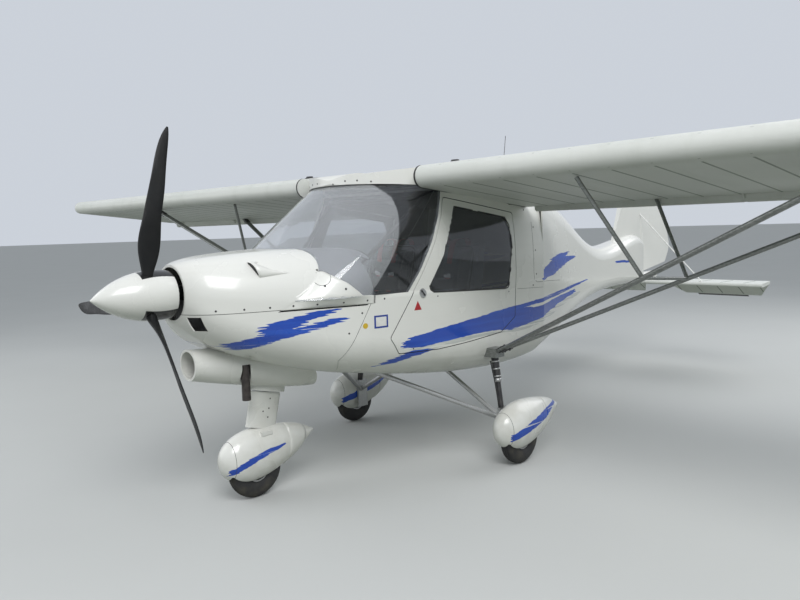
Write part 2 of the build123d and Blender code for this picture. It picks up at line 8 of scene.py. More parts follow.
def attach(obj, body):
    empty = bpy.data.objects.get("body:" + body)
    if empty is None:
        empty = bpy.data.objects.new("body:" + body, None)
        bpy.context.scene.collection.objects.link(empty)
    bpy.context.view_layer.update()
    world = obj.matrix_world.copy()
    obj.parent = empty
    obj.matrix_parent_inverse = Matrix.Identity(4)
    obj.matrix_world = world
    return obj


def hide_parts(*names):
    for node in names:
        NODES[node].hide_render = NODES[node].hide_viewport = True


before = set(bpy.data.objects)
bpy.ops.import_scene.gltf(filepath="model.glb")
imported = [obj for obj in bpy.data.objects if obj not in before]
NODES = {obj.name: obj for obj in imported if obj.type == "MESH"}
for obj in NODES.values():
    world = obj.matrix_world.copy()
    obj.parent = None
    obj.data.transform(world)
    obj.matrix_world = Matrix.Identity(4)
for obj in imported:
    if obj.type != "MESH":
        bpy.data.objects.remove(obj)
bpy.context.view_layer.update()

# Metres, in the part's own frame: +X forward, +Y to port, +Z up.
scene = bpy.context.scene
FINISHES = {}
PORT = 1
STARBOARD = -1
SIDES = (("left", PORT), ("right", STARBOARD))
FORWARD = Vector((1, 0, 0))
SIDEWAYS = Vector((0, 1, 0))
UPWARD = Vector((0, 0, 1))

CAMERA_PLACE = Vector((4.427, 3.446, 1.514))
CAMERA_YAW = radians(-134.69)
CAMERA_PITCH = radians(-5.70)
CAMERA_ROLL = radians(-1.64)
FOCAL_PIXELS = 712.5
IMAGE_WIDTH = 800
IMAGE_HEIGHT = 600
SENSOR_WIDTH = 36.0


def linked(name, data):
    obj = bpy.data.objects.new(name, data)
    scene.collection.objects.link(obj)
    return obj


def camera_axes():
    reach = cos(CAMERA_PITCH)
    look = Vector((cos(CAMERA_YAW) * reach, sin(CAMERA_YAW) * reach, sin(CAMERA_PITCH)))
    level = look.cross(UPWARD).normalized()
    upright = level.cross(look)
    right = cos(CAMERA_ROLL) * level + sin(CAMERA_ROLL) * upright
    up = cos(CAMERA_ROLL) * upright - sin(CAMERA_ROLL) * level
    return look, right, up


def make_camera():
    data = bpy.data.cameras.new("camera")
    data.sensor_width = SENSOR_WIDTH
    data.lens = FOCAL_PIXELS / IMAGE_WIDTH * SENSOR_WIDTH
    look, right, up = camera_axes()
    turn = Matrix((right, up, -look)).transposed()
    scene.camera = linked("camera", data)
    scene.camera.matrix_world = Matrix.Translation(CAMERA_PLACE) @ turn.to_4x4()


# Materials

class Value:
    """A node's output, for patterns that are written as plain arithmetic."""

    def __init__(self, network, socket):
        self.network = network
        self.socket = socket

    def __add__(self, other):
        return self.network.math("ADD", self, other)

    def __sub__(self, other):
        return self.network.math("SUBTRACT", self, other)

    def __rsub__(self, other):
        return self.network.math("SUBTRACT", other, self)

    def __mul__(self, other):
        return self.network.math("MULTIPLY", self, other)

    def most(self, other):
        return self.network.math("MAXIMUM", self, other)

    def size(self):
        return self.network.math("ABSOLUTE", self)

    def step(self, low, high, out_low=0.0, out_high=1.0):
        """The value's way from low to high, as a way from out_low to out_high."""
        return self.network.wire("MapRange", {"Value": self, "From Min": low, "From Max": high,
                                              "To Min": out_low, "To Max": out_high}, "Result")

    def sharp(self):
        """1 above zero and 0 below it."""
        return self.step(-SOFT_EDGE, SOFT_EDGE)

    def mix(self, a, b):
        """The colour a where the value is 0 and b where it is 1."""
        return self.network.wire("Mix", {"Factor": self, "A": a, "B": b}, "Result", data_type="RGBA")

    def curve(self, points):
        """A height drawn through (place, height) points, for a place inside their range."""
        places, heights = zip(*points)
        x0, x1 = min(places), max(places)
        z0, z1 = min(heights), max(heights) + 0.001
        height = self.network.wire("FloatCurve", {"Value": self.step(x0, x1)})
        mapping = height.socket.node.mapping
        line = mapping.curves[0]
        spots = sorted(((x - x0) / (x1 - x0), (z - z0) / (z1 - z0)) for x, z in points)
        line.points[0].location = spots[0]
        line.points[1].location = spots[-1]
        for spot in spots[1:-1]:
            line.points.new(*spot)
        for point in line.points:
            point.handle_type = "VECTOR"
        mapping.update()
        return height.step(0.0, 1.0, z0, z1)


class Network:
    """A node tree, with short ways to add to it."""

    def __init__(self, tree):
        self.nodes = tree.nodes
        self.links = tree.links

    def feed(self, socket, source):
        if isinstance(source, Value):
            self.links.new(source.socket, socket)
        elif isinstance(source, tuple):
            socket.default_value = (*source, 1)[:len(socket.default_value)]
        else:
            socket.default_value = source

    def wire(self, kind, inputs, output=0, **settings):
        """The output of a new node, with its settings made and its inputs fed."""
        node = self.nodes.new(f"ShaderNode{kind}")
        for name, setting in settings.items():
            setattr(node, name, setting)
        for socket, source in inputs.items():
            self.feed(node.inputs[socket], source)
        return Value(self, node.outputs[output])

    def math(self, operation, a, b=0.0):
        return self.wire("Math", {0: a, 1: b}, operation=operation)

    def seen(self):
        """1 for a ray that shows the surface to the camera, straight or in metal or glass."""
        straight, glossy, glass = (self.wire("LightPath", {}, f"Is {kind} Ray")
                                   for kind in ("Camera", "Glossy", "Transmission"))
        return straight.most(glossy).most(glass)


class Finish(Network):
    """A material and its pattern, kept in FINISHES under its name."""

    def __init__(self, name, colour, roughness, metallic=0.0):
        material = bpy.data.materials.new(name)
        material.use_nodes = True
        super().__init__(material.node_tree)
        self.colour = colour
        self.place = self.wire("TexCoord", {}, "Object")
        self.set("Base Color", colour)
        self.set("Roughness", roughness)
        self.set("Metallic", metallic)
        FINISHES[name] = material

    def set(self, socket, source):
        self.feed(self.nodes["Principled BSDF"].inputs[socket], source)

    def noise(self, scale, detail=3.0, stretch=None, turn=(0, 0, 0)):
        place = self.place
        if stretch:
            place = self.wire("Mapping", {"Vector": place, "Scale": stretch, "Rotation": turn})
        return self.wire("TexNoise", {"Scale": scale, "Detail": detail, "Vector": place}, "Fac")

    def waves(self, scale, axis):
        return self.wire("TexWave", {"Scale": scale, "Vector": self.place}, "Fac", bands_direction=axis)

    def bump(self, height, distance, strength):
        self.set("Normal", self.wire("Bump", {"Strength": strength, "Distance": distance, "Height": height}))

    def parts(self, source):
        """The X, Y and Z of a place or a way."""
        return [self.wire("SeparateXYZ", {0: source}, k) for k in range(3)]

    def tint(self, pattern, low, high, a, b, rough=None):
        """Two colours mixed by a pattern, and the roughness that goes with them."""
        self.set("Base Color", pattern.step(low, high).mix(a, b))
        if rough:
            self.set("Roughness", pattern.step(0.3, 0.7, *rough))

    def wear(self, dark, amount, rough, scale):
        """Light soiling over the finish, in its colour and its roughness."""
        patches = self.noise(scale, 6.0)
        self.set("Base Color", patches.step(0.45, 0.75, 0.0, amount).mix(self.colour, dark))
        self.set("Roughness", patches.step(0.3, 0.7, *rough))


# Painted strokes in side view: the upper edge and the lower edge as x, z, from front to back
STROKES = (
    (((2.53, 0.945), (2.487, 0.960), (2.39, 0.987), (2.375, 1.034), (2.289, 1.052), (2.185, 1.075),
      (2.079, 1.093), (1.965, 1.098)),
     ((2.53, 0.935), (2.46, 0.909), (2.41, 0.913), (2.34, 0.941), (2.26, 0.975), (2.18, 1.018),
      (2.08, 1.058), (1.965, 1.090))),
    (((2.32, 0.990), (2.20, 1.006), (2.08, 1.030), (1.99, 1.046), (1.90, 1.045)),
     ((2.32, 0.942), (2.26, 0.958), (2.19, 0.975), (2.08, 0.998), (1.90, 1.036))),
    (((1.60, 0.850), (1.515, 0.890), (1.373, 0.904), (1.109, 0.930), (0.811, 0.958), (0.567, 0.968),
      (0.345, 0.955), (0.18, 0.930)),
     ((1.60, 0.832), (1.452, 0.821), (1.112, 0.838), (0.803, 0.844), (0.571, 0.820), (0.348, 0.848),
      (0.18, 0.880))),
    (((0.80, 0.960), (0.567, 0.976), (0.345, 0.990), (-0.245, 1.014), (-0.60, 1.030), (-0.98, 1.046)),
     ((0.80, 0.940), (0.345, 0.962), (-0.245, 0.984), (-0.60, 1.010), (-0.98, 1.036))),
    (((0.52, 0.935), (0.11, 0.950), (-0.243, 0.972), (-0.65, 0.990)),
     ((0.52, 0.826), (0.11, 0.872), (-0.243, 0.922), (-0.65, 0.966))),
    (((1.69, 0.752), (1.60, 0.786), (1.50, 0.808), (1.36, 0.806)),
     ((1.69, 0.736), (1.60, 0.744), (1.50, 0.766), (1.36, 0.794))),
    (((0.13, 1.196), (-0.05, 1.262), (-0.25, 1.296), (-0.46, 1.300)),
     ((0.13, 1.150), (-0.05, 1.192), (-0.25, 1.236), (-0.46, 1.284))),
    (((0.15, 1.158), (-0.12, 1.222), (-0.38, 1.266), (-0.62, 1.262)),
     ((0.15, 1.116), (-0.12, 1.152), (-0.38, 1.206), (-0.62, 1.248))),
    (((-1.66, 1.162), (-1.90, 1.156), (-2.14, 1.134)),
     ((-1.66, 1.142), (-1.90, 1.132), (-2.14, 1.124))),
    (((2.43, 0.212), (2.326, 0.262), (2.19, 0.292), (2.07, 0.298)),
     ((2.43, 0.176), (2.326, 0.222), (2.19, 0.262), (2.07, 0.288))),
    (((0.95, 0.228), (0.80, 0.276), (0.60, 0.326), (0.41, 0.348)),
     ((0.95, 0.184), (0.80, 0.220), (0.60, 0.268), (0.41, 0.330))),
)
BODY_STROKES = range(9)
PANT_STROKES = (9, 10)
SHADOWED_STROKES = (2, 4)
# The line where the screen's front bow, painted pale as a sky reflection, meets its darker side panes, as z,
# x
SCREEN_REFLECTION_EDGE = ((1.745, 1.514), (1.700, 1.504), (1.610, 1.526), (1.519, 1.560), (1.435, 1.594),
              (1.358, 1.640), (1.299, 1.685), (1.235, 1.734), (1.183, 1.781))
WHITE = (0.74, 0.74, 0.705)
BLUE = (0.006, 0.056, 0.40)
BRIGHT_BLUE = (0.010, 0.080, 0.48)
SHADOW_GREY = (0.50, 0.52, 0.50)
SOFT_EDGE = 0.001
HUB_Z = 1.213
SPINNER_BACK = 2.869
FIRST_BLADE = radians(22.3)
CUT_HALF = 0.041
CABIN_MIDDLE_Z = 1.15


def stroke_mask(x, z, edges):
    upper, lower = edges
    xs = [p[0] for p in upper]
    between = (z - x.curve(lower)).sharp() * (x.curve(upper) - z).sharp()
    return between * (max(xs) - x).sharp() * (x - min(xs)).sharp()


def brushed(finish, paint, strokes, ragged, x, z):
    """The paint with the blue strokes over it, ragged at their edges as a dry brush leaves them."""
    lean = (0, radians(9), 0)
    x = (finish.noise(1.0, 1.0, (0.8, 0.8, 130.0), lean) - 0.5) * ragged + x
    z = (finish.noise(1.0, 1.0, (16.0, 16.0, 3.0)) - 0.5) * 0.010 + z
    gaps = finish.noise(1.0, 3.0, (1.6, 1.6, 95.0), lean)
    blue = 0.0
    grey = 0.0
    for index in strokes:
        blue = stroke_mask(x, z, STROKES[index]).most(blue)
        if index in SHADOWED_STROKES:
            grey = stroke_mask(x + 0.10, z + 0.024, STROKES[index]).most(grey)
    paint = (gaps.step(0.46, 0.48) * grey).mix(paint, SHADOW_GREY)
    royal = finish.noise(1.0, 2.0, (2.0, 2.0, 40.0)).step(0.4, 0.7).mix(BLUE, BRIGHT_BLUE)
    return (gaps.step(0.30, 0.315) * blue).mix(paint, royal)


def white_coat(name, roughness, scale, shade):
    """A finish of moulded white gel-coat, with its faint clouds and its paint."""
    finish = Finish(name, WHITE, roughness)
    finish.set("Coat Weight", 0.35)
    finish.set("Coat Roughness", 0.06)
    cloud = finish.noise(scale, 5.0)
    return finish, cloud, cloud.step(0.35, 0.70).mix(WHITE, tuple(c * shade for c in WHITE))


def make_gelcoat(name, strokes=(), lining=False, ragged=0.18):
    """Gel-coat with brushed blue strokes, and with a dark lining inside where asked."""
    finish, cloud, paint = white_coat(name, 0.24, 1.6, 0.955)
    x, y, z = finish.parts(finish.place)
    dirt = z.step(0.95, 0.25) * finish.noise(9.0, 8.0).step(0.42, 0.72)
    paint = (dirt * 0.30).mix(paint, (0.36, 0.34, 0.26))
    streaks = finish.noise(5.0, 4.0, (0.25, 1.0, 6.0)).step(0.55, 0.80, 0.0, 0.10)
    paint = streaks.mix(paint, (0.50, 0.50, 0.44))
    if strokes:
        paint = brushed(finish, paint, strokes, ragged, x, z)
    shine = cloud.step(0.3, 0.7, 0.18, 0.34)
    if lining:
        _, ny, nz = finish.parts(finish.wire("TexCoord", {}, "Normal"))
        inside = (ny * y + nz * (z - CABIN_MIDDLE_Z)).step(0.004, -0.004)
        felt = finish.noise(260.0, 2.0).mix((0.09, 0.09, 0.095), (0.15, 0.15, 0.155))
        paint = inside.mix(paint, felt)
        shine = inside * 0.6 + shine
    finish.set("Roughness", shine)
    finish.set("Base Color", paint)
    finish.bump(finish.noise(2.2, 2.0) + finish.noise(420.0, 2.0) * 0.012, 0.004, 0.6)


def make_spinner_finish():
    """Gel-coat with painted shade round each blade's root, in the cut-out that opens to the back edge."""
    finish, cloud, paint = white_coat("spinner_gelcoat", 0.22, 6.0, 0.94)
    x, y, z = finish.parts(finish.place)
    height = z - HUB_Z
    cutout_shade = 0.0
    for blade in range(3):
        turn = FIRST_BLADE + blade * 2 * pi / 3
        along = y * sin(turn) + height * cos(turn)
        across = y * cos(turn) - height * sin(turn)
        near = across.size().step(CUT_HALF + SOFT_EDGE, CUT_HALF - SOFT_EDGE)
        cutout_shade = (near * along.step(0.0, 0.01)).most(cutout_shade)
    cutout_shade = cutout_shade * x.step(SPINNER_BACK + 0.003, SPINNER_BACK)
    # The cut-outs are painted near-black: painted shade for the dark inside of each opening
    finish.set("Base Color", cutout_shade.mix(paint, (0.012, 0.012, 0.012)))
    finish.set("Roughness", cloud.step(0.3, 0.7, 0.18, 0.32))
    finish.bump(finish.noise(3.0, 2.0), 0.003, 0.4)


# Plain finishes: colour, roughness and metal; the soil's colour, amount, roughness and scale;
# the grain's scale, detail, depth and strength
PLAIN_FINISHES = {
    "tyre_rubber": ((0.022, 0.022, 0.023), 0.75, 0.0, (0.085, 0.078, 0.062), 0.8, (0.62, 0.88), 14.0,
                    300.0, 3.0, 0.0008, 0.5),
    "black_steel": ((0.025, 0.025, 0.027), 0.42, 0.0, (0.11, 0.10, 0.09), 0.5, (0.32, 0.55), 22.0,
                    520.0, 2.0, 0.0006, 0.5),
    "white_steel": ((0.72, 0.72, 0.70), 0.3, 0.0, (0.45, 0.44, 0.40), 0.35, (0.22, 0.4), 18.0,
                    300.0, 2.0, 0.0005, 0.4),
    "exhaust_steel": ((0.07, 0.06, 0.055), 0.55, 0.6, (0.025, 0.022, 0.022), 0.9, (0.3, 0.6), 30.0,
                      120.0, 4.0, 0.0008, 0.6),
    "engine_casting": ((0.10, 0.10, 0.105), 0.6, 0.4, (0.04, 0.035, 0.03), 0.7, (0.45, 0.7), 25.0,
                       180.0, 4.0, 0.0015, 0.6),
    "hood_cloth": ((0.33, 0.335, 0.36), 0.85, 0.0, (0.25, 0.255, 0.27), 0.5, (0.75, 0.92), 7.0,
                   340.0, 3.0, 0.0010, 0.7),
    "grey_plastic": ((0.20, 0.205, 0.215), 0.62, 0.0, (0.13, 0.13, 0.135), 0.5, (0.52, 0.7), 10.0,
                     240.0, 3.0, 0.0010, 0.6),
    "black_seal": ((0.015, 0.015, 0.016), 0.65, 0.0, (0.06, 0.058, 0.052), 0.6, (0.5, 0.75), 30.0,
                   400.0, 2.0, 0.0005, 0.4),
    "yellow_plate": ((0.62, 0.42, 0.03), 0.35, 0.0, (0.45, 0.30, 0.05), 0.5, (0.28, 0.45), 60.0,
                     300.0, 2.0, 0.0003, 0.4),
    "red_plate": ((0.40, 0.02, 0.025), 0.35, 0.0, (0.28, 0.03, 0.03), 0.5, (0.28, 0.45), 60.0,
                  300.0, 2.0, 0.0003, 0.4),
    "plate_blue": ((0.02, 0.05, 0.28), 0.35, 0.0, (0.03, 0.05, 0.18), 0.5, (0.28, 0.45), 60.0,
                   300.0, 2.0, 0.0003, 0.4),
    "dial_face": ((0.01, 0.01, 0.011), 0.35, 0.0, (0.03, 0.03, 0.03), 0.5, (0.28, 0.42), 40.0,
                  500.0, 2.0, 0.0002, 0.3),
}


def make_materials():
    make_gelcoat("lined_gelcoat", BODY_STROKES, lining=True)
    make_gelcoat("painted_gelcoat", BODY_STROKES)
    make_gelcoat("pant_gelcoat", PANT_STROKES, ragged=0.04)
    make_gelcoat("white_gelcoat")
    make_spinner_finish()
    for name, row in PLAIN_FINISHES.items():
        colour, roughness, metal, soil, amount, rough, scale, grain, detail, depth, strength = row
        finish = Finish(name, colour, roughness, metal)
        finish.wear(soil, amount, rough, scale)
        finish.bump(finish.noise(grain, detail), depth, strength)

    fabric = Finish("wing_fabric", (0.70, 0.715, 0.68), 0.42)
    cloud = fabric.noise(1.3, 6.0)
    base = cloud.step(0.35, 0.7).mix((0.71, 0.725, 0.69), (0.64, 0.66, 0.62))
    grime = fabric.noise(4.0, 6.0, (0.4, 2.5, 1.0)).step(0.52, 0.80, 0.0, 0.25)
    fabric.set("Base Color", grime.mix(base, (0.42, 0.44, 0.38)))
    fabric.set("Roughness", cloud.step(0.3, 0.7, 0.34, 0.50))
    taut = fabric.noise(3.0, 2.0, (1.0, 2.0, 1.0)) * 6.0
    fabric.bump(fabric.waves(520.0, "X") + fabric.waves(520.0, "Y") + taut, 0.0012, 0.5)
    fabric.set("Sheen Weight", 0.15)

    tape = Finish("rib_tape", (0.28, 0.31, 0.27), 0.55)
    tape.wear((0.22, 0.24, 0.20), 0.6, (0.45, 0.65), 8.0)
    tape.bump(tape.waves(160.0, "X"), 0.0008, 0.6)

    glass = Finish("tinted_glass", (0.90, 0.92, 0.94), 0.0)
    x, _, z = glass.parts(glass.place)
    # The front bow lets less light through and shows a pale colour: a painted sky reflection
    front = (x - z.curve(SCREEN_REFLECTION_EDGE)).sharp()
    glass.set("Transmission Weight", 0.97 - front * 0.15)
    glass.set("IOR", 1.5)
    glass.set("Specular IOR Level", 0.2)
    haze = glass.noise(3.0, 4.0)
    # pale: the painted sky reflection's colour on the front bow, faintly clouded
    pale = haze.step(0.4, 0.7).mix((0.90, 0.92, 0.94), (0.85, 0.87, 0.89))
    glass.set("Base Color", front.mix((0.46, 0.48, 0.50), pale))
    glass.set("Roughness", haze.step(0.4, 0.8, 0.0, 0.012))

    smoke = Finish("smoked_glass", (0.30, 0.32, 0.34), 0.03)
    smoke.set("Transmission Weight", 0.94)
    smoke.set("IOR", 1.45)
    haze = smoke.noise(3.0, 4.0)
    smoke.set("Roughness", haze.step(0.4, 0.8, 0.0, 0.015))
    smoke.tint(haze, 0.4, 0.7, (0.40, 0.42, 0.44), (0.34, 0.36, 0.38))

    alloy = Finish("brushed_alloy", (0.46, 0.465, 0.46), 0.36, 0.85)
    grain = alloy.noise(60.0, 4.0, (6.0, 1.0, 6.0))
    alloy.tint(grain, 0.35, 0.7, (0.50, 0.505, 0.50), (0.33, 0.335, 0.33), (0.28, 0.48))
    alloy.bump(grain, 0.0004, 0.5)

    strut = Finish("strut_alloy", (0.24, 0.25, 0.24), 0.42, 0.6)
    grain = strut.noise(40.0, 5.0, (4.0, 1.0, 4.0))
    strut.tint(grain, 0.35, 0.7, (0.27, 0.28, 0.27), (0.16, 0.17, 0.16), (0.32, 0.55))
    strut.bump(grain, 0.0004, 0.5)

    blade = Finish("blade_composite", (0.006, 0.0065, 0.007), 0.45)
    blade.wear((0.016, 0.0155, 0.015), 0.6, (0.38, 0.60), 12.0)
    blade.set("Specular IOR Level", 0.25)
    blade.bump(blade.waves(240.0, "Y") + blade.waves(240.0, "Z"), 0.0004, 0.3)

    seat = Finish("seat_fabric", (0.040, 0.041, 0.046), 0.85)
    seat.tint(seat.noise(190.0, 3.0), 0.4, 0.65, (0.036, 0.037, 0.042), (0.085, 0.085, 0.095))
    seat.bump(seat.waves(430.0, "Y") * seat.waves(430.0, "Z"), 0.0012, 0.7)
    seat.set("Sheen Weight", 0.4)

    belt = Finish("belt_webbing", (0.42, 0.016, 0.014), 0.62)
    ribs = belt.waves(260.0, "Z")
    belt.set("Base Color", ribs.mix((0.44, 0.018, 0.015), (0.28, 0.010, 0.010)))
    belt.bump(ribs, 0.0010, 0.8)
    belt.set("Sheen Weight", 0.3)

    floor = Finish("floor_plastic", (0.055, 0.055, 0.06), 0.8)
    floor.wear((0.12, 0.105, 0.08), 0.6, (0.7, 0.9), 12.0)
    floor.bump(floor.waves(70.0, "X") * floor.waves(70.0, "Y"), 0.0015, 0.8)


NODE_FINISHES = {
    "lined_gelcoat": "cabin_shell door_left door_right",
    "painted_gelcoat": "cowl_lower rear_fuselage",
    "pant_gelcoat": "nose_pant main_pant_left main_pant_right",
    "white_gelcoat": "cowl_upper roof_fairing fin rudder nose_leg",
    "spinner_gelcoat": "spinner",
    "wing_fabric": "wing_left wing_right flaperon_left flaperon_right stabiliser elevator",
    "tinted_glass": "windscreen",
    "smoked_glass": "door_glass_left door_glass_right",
    "brushed_alloy": "main_rim_left main_rim_right nose_rim gear_arms_left gear_arms_right",
    "strut_alloy": "wing_struts_left wing_struts_right jury_struts_left jury_struts_right",
    "black_steel": "spring_strut_left spring_strut_right leg_bearing control_stick cabin_frame",
    "white_steel": "tail_stays tail_boom",
    "exhaust_steel": "exhaust_pipe",
    "engine_casting": "engine_block firewall",
    "blade_composite": "propeller",
    "hood_cloth": "instrument_panel",
    "floor_plastic": "cabin_floor",
    "tyre_rubber": "nose_tyre main_tyre_left main_tyre_right",
    "seat_fabric": "seat_left seat_right",
}


def dress_nodes():
    for finish, names in NODE_FINISHES.items():
        for name in names.split():
            mesh = NODES[name].data
            mesh.materials.clear()
            mesh.materials.append(FINISHES[finish])


# Surfaces of the frame: each ray gives a place and a normal, or None and None

def surface(*names, meshes=()):
    vertices = []
    faces = []
    for mesh in [NODES[name].data for name in names] + list(meshes):
        start = len(vertices)
        vertices += [v.co.copy() for v in mesh.vertices]
        faces += [[start + i for i in p.vertices] for p in mesh.polygons]
    return BVHTree.FromPolygons(vertices, faces)


def side_hit(tree, x, z, side):
    return tree.ray_cast(Vector((x, side * 6.0, z)), Vector((0, -side, 0)))[:2]


def vertical_hit(tree, x, y, above):
    way = -UPWARD if above else UPWARD
    return tree.ray_cast(Vector((x, y, 5.0 if above else -1.0)), way)[:2]


def photo_hit(tree, px, py):
    look, right, up = camera_axes()
    way = look + right * (px - IMAGE_WIDTH / 2) / FOCAL_PIXELS - up * (py - IMAGE_HEIGHT / 2) / FOCAL_PIXELS
    return tree.ray_cast(CAMERA_PLACE, way.normalized())[:2]


# Mesh pieces

# The record's slot of each finish that isn't named after its slot
SLOTS = {
    "tyre_rubber": "tyre",
    "black_seal": "black_steel",
    "dial_face": "black_steel",
    "brushed_alloy": "alloy_tube",
    "rib_tape": "wing_fabric",
    "belt_webbing": "seat_fabric",
    "hood_cloth": "grey_plastic",
    "pant_gelcoat": "white_gelcoat",
}
SQUARE = ((-1, -1), (1, -1), (1, 1), (-1, 1))
# How far bands and plates reach under the surface that they lie on
SUNK = -0.0006
SCREW_RADIUS = 0.0055
SMALL_SCREW_RADIUS = 0.0045


def evenly(first, last, count):
    """Numbers or places from the first to the last, in equal steps."""
    return [first + (last - first) * k / count for k in range(count + 1)]


def moved(x, y, z):
    return Matrix.Translation((x, y, z))


def turned(degrees, axis):
    return Matrix.Rotation(radians(degrees), 4, axis)


def ended(name, bm):
    """The bmesh as a mesh, with its faces turned outward."""
    mesh = bpy.data.meshes.new(name)
    bmesh.ops.recalc_face_normals(bm, faces=bm.faces)
    bm.to_mesh(mesh)
    bm.free()
    return mesh


def piece(name, bm, finish, body="root", slot=None, smooth=True):
    mesh = ended(name, bm)
    mesh.materials.append(FINISHES[finish])
    for polygon in mesh.polygons:
        polygon.use_smooth = smooth
    obj = linked(name, mesh)
    slot = slot or SLOTS.get(finish, finish)
    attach(obj, body)
    return obj


def bevelled(obj, width, segments=2):
    bevel = obj.modifiers.new("edges", "BEVEL")
    bevel.width = width
    bevel.segments = segments
    bevel.limit_method = "ANGLE"
    bevel.angle_limit = radians(35)


def frame_at(place, normal, along=Vector((0.31, 0.17, 0.93))):
    """A matrix whose Z is the surface's normal and whose X lies near the given way."""
    z = normal.normalized()
    x = along - along.dot(z) * z
    if x.length < 1e-4:
        x = z.orthogonal()
    x.normalize()
    turn = Matrix((x, z.cross(x), z)).transposed().to_4x4()
    return Matrix.Translation(place) @ turn


def circle(count, radius):
    turns = [2 * pi * k / count for k in range(count)]
    return [(radius * cos(turn), radius * sin(turn)) for turn in turns]


def ways(points, closed=False):
    """The direction of travel at each point of a line."""
    ahead = points[1:] + (points[:1] if closed else points[-1:])
    behind = (points[-1:] if closed else points[:1]) + points[:-1]
    return [(a - b).normalized() for a, b in zip(ahead, behind)]


def join_rings(bm, rings, closed=False, capped=False):
    """Faces from each ring of vertices to the next one, where a ring may be a single point."""
    for a, b in zip(rings, rings[1:] + (rings[:1] if closed else [])):
        count = max(len(a), len(b))
        for k in range(count):
            j = (k + 1) % count
            corners = (a[k % len(a)], a[j % len(a)], b[j % len(b)], b[k % len(b)])
            bm.faces.new(list(dict.fromkeys(corners)))
    if capped:
        bm.faces.new(rings[0])
        bm.faces.new(rings[-1])


def add_layers(bm, top, under):
    """A closed sheet between two grids of places."""
    grids = [[[bm.verts.new(p) for p in row] for row in grid] for grid in (top, under)]
    pairs = [pair for grid in grids for pair in zip(grid, grid[1:])]
    for end in (0, -1):
        pairs.append([grid[end] for grid in grids])
        pairs.append([[row[end] for row in grid] for grid in grids])
    for a, b in pairs:
        for k in range(len(a) - 1):
            bm.faces.new((a[k], a[k + 1], b[k + 1], b[k]))


def add_lathe(bm, matrix, profile, count=24, closed=False):
    """A turned form about the matrix's Z axis, from (radius, height) points."""
    rings = []
    for radius, height in profile:
        spots = circle(count, radius) if radius else [(0, 0)]
        rings.append([bm.verts.new(matrix @ Vector((x, y, height))) for x, y in spots])
    join_rings(bm, rings, closed)


def add_screw(bm, place, normal, radius):
    """A round-headed screw with a sunk middle."""
    profile = ((0, -0.0008), (radius, -0.0008), (radius, 0.0006), (radius * 0.8, 0.0016),
               (radius * 0.42, 0.0018), (radius * 0.36, 0.0007), (0, 0.0007))
    add_lathe(bm, frame_at(place, normal), profile, 12)


def add_screws(bm, tree, spots, radius=SCREW_RADIUS, sides=(PORT, STARBOARD)):
    for side in sides:
        for x, z in spots:
            place, normal = side_hit(tree, x, z, side)
            if place is not None:
                add_screw(bm, place, normal, radius)


def add_ribbon(bm, path, width, rise=0.0004, closed=False):
    """A flat band along (place, normal) pairs that lies on the surface."""
    rows = []
    for (place, normal), way in zip(path, ways([spot[0] for spot in path], closed)):
        across = way.cross(normal).normalized()
        up = normal.normalized()
        rows.append([bm.verts.new(place + across * a * width / 2 + up * b)
                     for a, b in ((-1, SUNK), (-0.92, rise), (0.92, rise), (1, SUNK))])
    join_rings(bm, rows, closed, capped=not closed)


def add_tube(bm, points, radius, count=12, closed=False):
    """A round bar along points, with closed ends."""
    rows = []
    headings = ways(points, closed)
    side = headings[0].orthogonal()
    for point, way in zip(points, headings):
        side = (side - side.dot(way) * way).normalized()
        other = way.cross(side)
        rows.append([bm.verts.new(point + a * side + b * other) for a, b in circle(count, radius)])
    join_rings(bm, rows, closed, capped=not closed)


def add_block(bm, matrix, size):
    x, y, z = (s / 2 for s in size)
    rings = [[bm.verts.new(matrix @ Vector((a * x, b * y, end * z))) for a, b in SQUARE] for end in (-1, 1)]
    join_rings(bm, rings, capped=True)


def spaced(points, step):
    """Points along a polyline at an even spacing."""
    out = []
    for a, b in zip(points, points[1:]):
        a, b = Vector(a), Vector(b)
        count = max(1, int((b - a).length / step))
        out += [a.lerp(b, k / count) for k in range(count)]
    return out + [Vector(points[-1])]


def side_path(tree, points, side, step=0.02):
    places = spaced([(x, 0, z) for x, z in points], step)
    hits = [side_hit(tree, p.x, p.z, side) for p in places]
    return [hit for hit in hits if hit[0] is not None]


def smooth_path(points, steps=8):
    """A smooth line through the points."""
    points = [Vector(p) for p in points]
    ends = [2 * points[0] - points[1]] + points + [2 * points[-1] - points[-2]]
    out = []
    for a, b, c, d in zip(ends, ends[1:], ends[2:], ends[3:]):
        for k in range(steps):
            t = k / steps
            out.append(0.5 * (2 * b + (c - a) * t + (2 * a - 5 * b + 4 * c - d) * t * t
                              + (3 * b - a - 3 * c + d) * t ** 3))
    out.append(points[-1])
    return out


# Wheels

WHEEL_RADIUS = 0.168
NOSE_WHEEL_X = 2.233
MAIN_WHEEL_X = 0.770
MAIN_WHEEL_Y = 0.800
WHEELS = (
    ("nose", "nose_tyre", "nose_wheel", NOSE_WHEEL_X, 0.0),
    ("left", "main_tyre_left", "main_wheel_left", MAIN_WHEEL_X, MAIN_WHEEL_Y),
    ("right", "main_tyre_right", "main_wheel_right", MAIN_WHEEL_X, -MAIN_WHEEL_Y),
)
TYRE_OUTLINE = (
    (0.072, -0.034), (0.078, -0.0395), (0.090, -0.0445), (0.108, -0.0458), (0.126, -0.0440),
    (0.142, -0.0390), (0.153, -0.0330), (0.160, -0.0265), (0.1635, -0.0215), (0.1600, -0.0205),
    (0.1600, -0.0175), (0.1652, -0.0165), (0.1666, -0.0090), (0.1625, -0.0080), (0.1625, -0.0050),
    (0.1672, -0.0040),
)
HUB_CAP = ((0, 0.004), (0.015, 0.003), (0.018, 0.0), (0.018, -0.012), (0, -0.012))
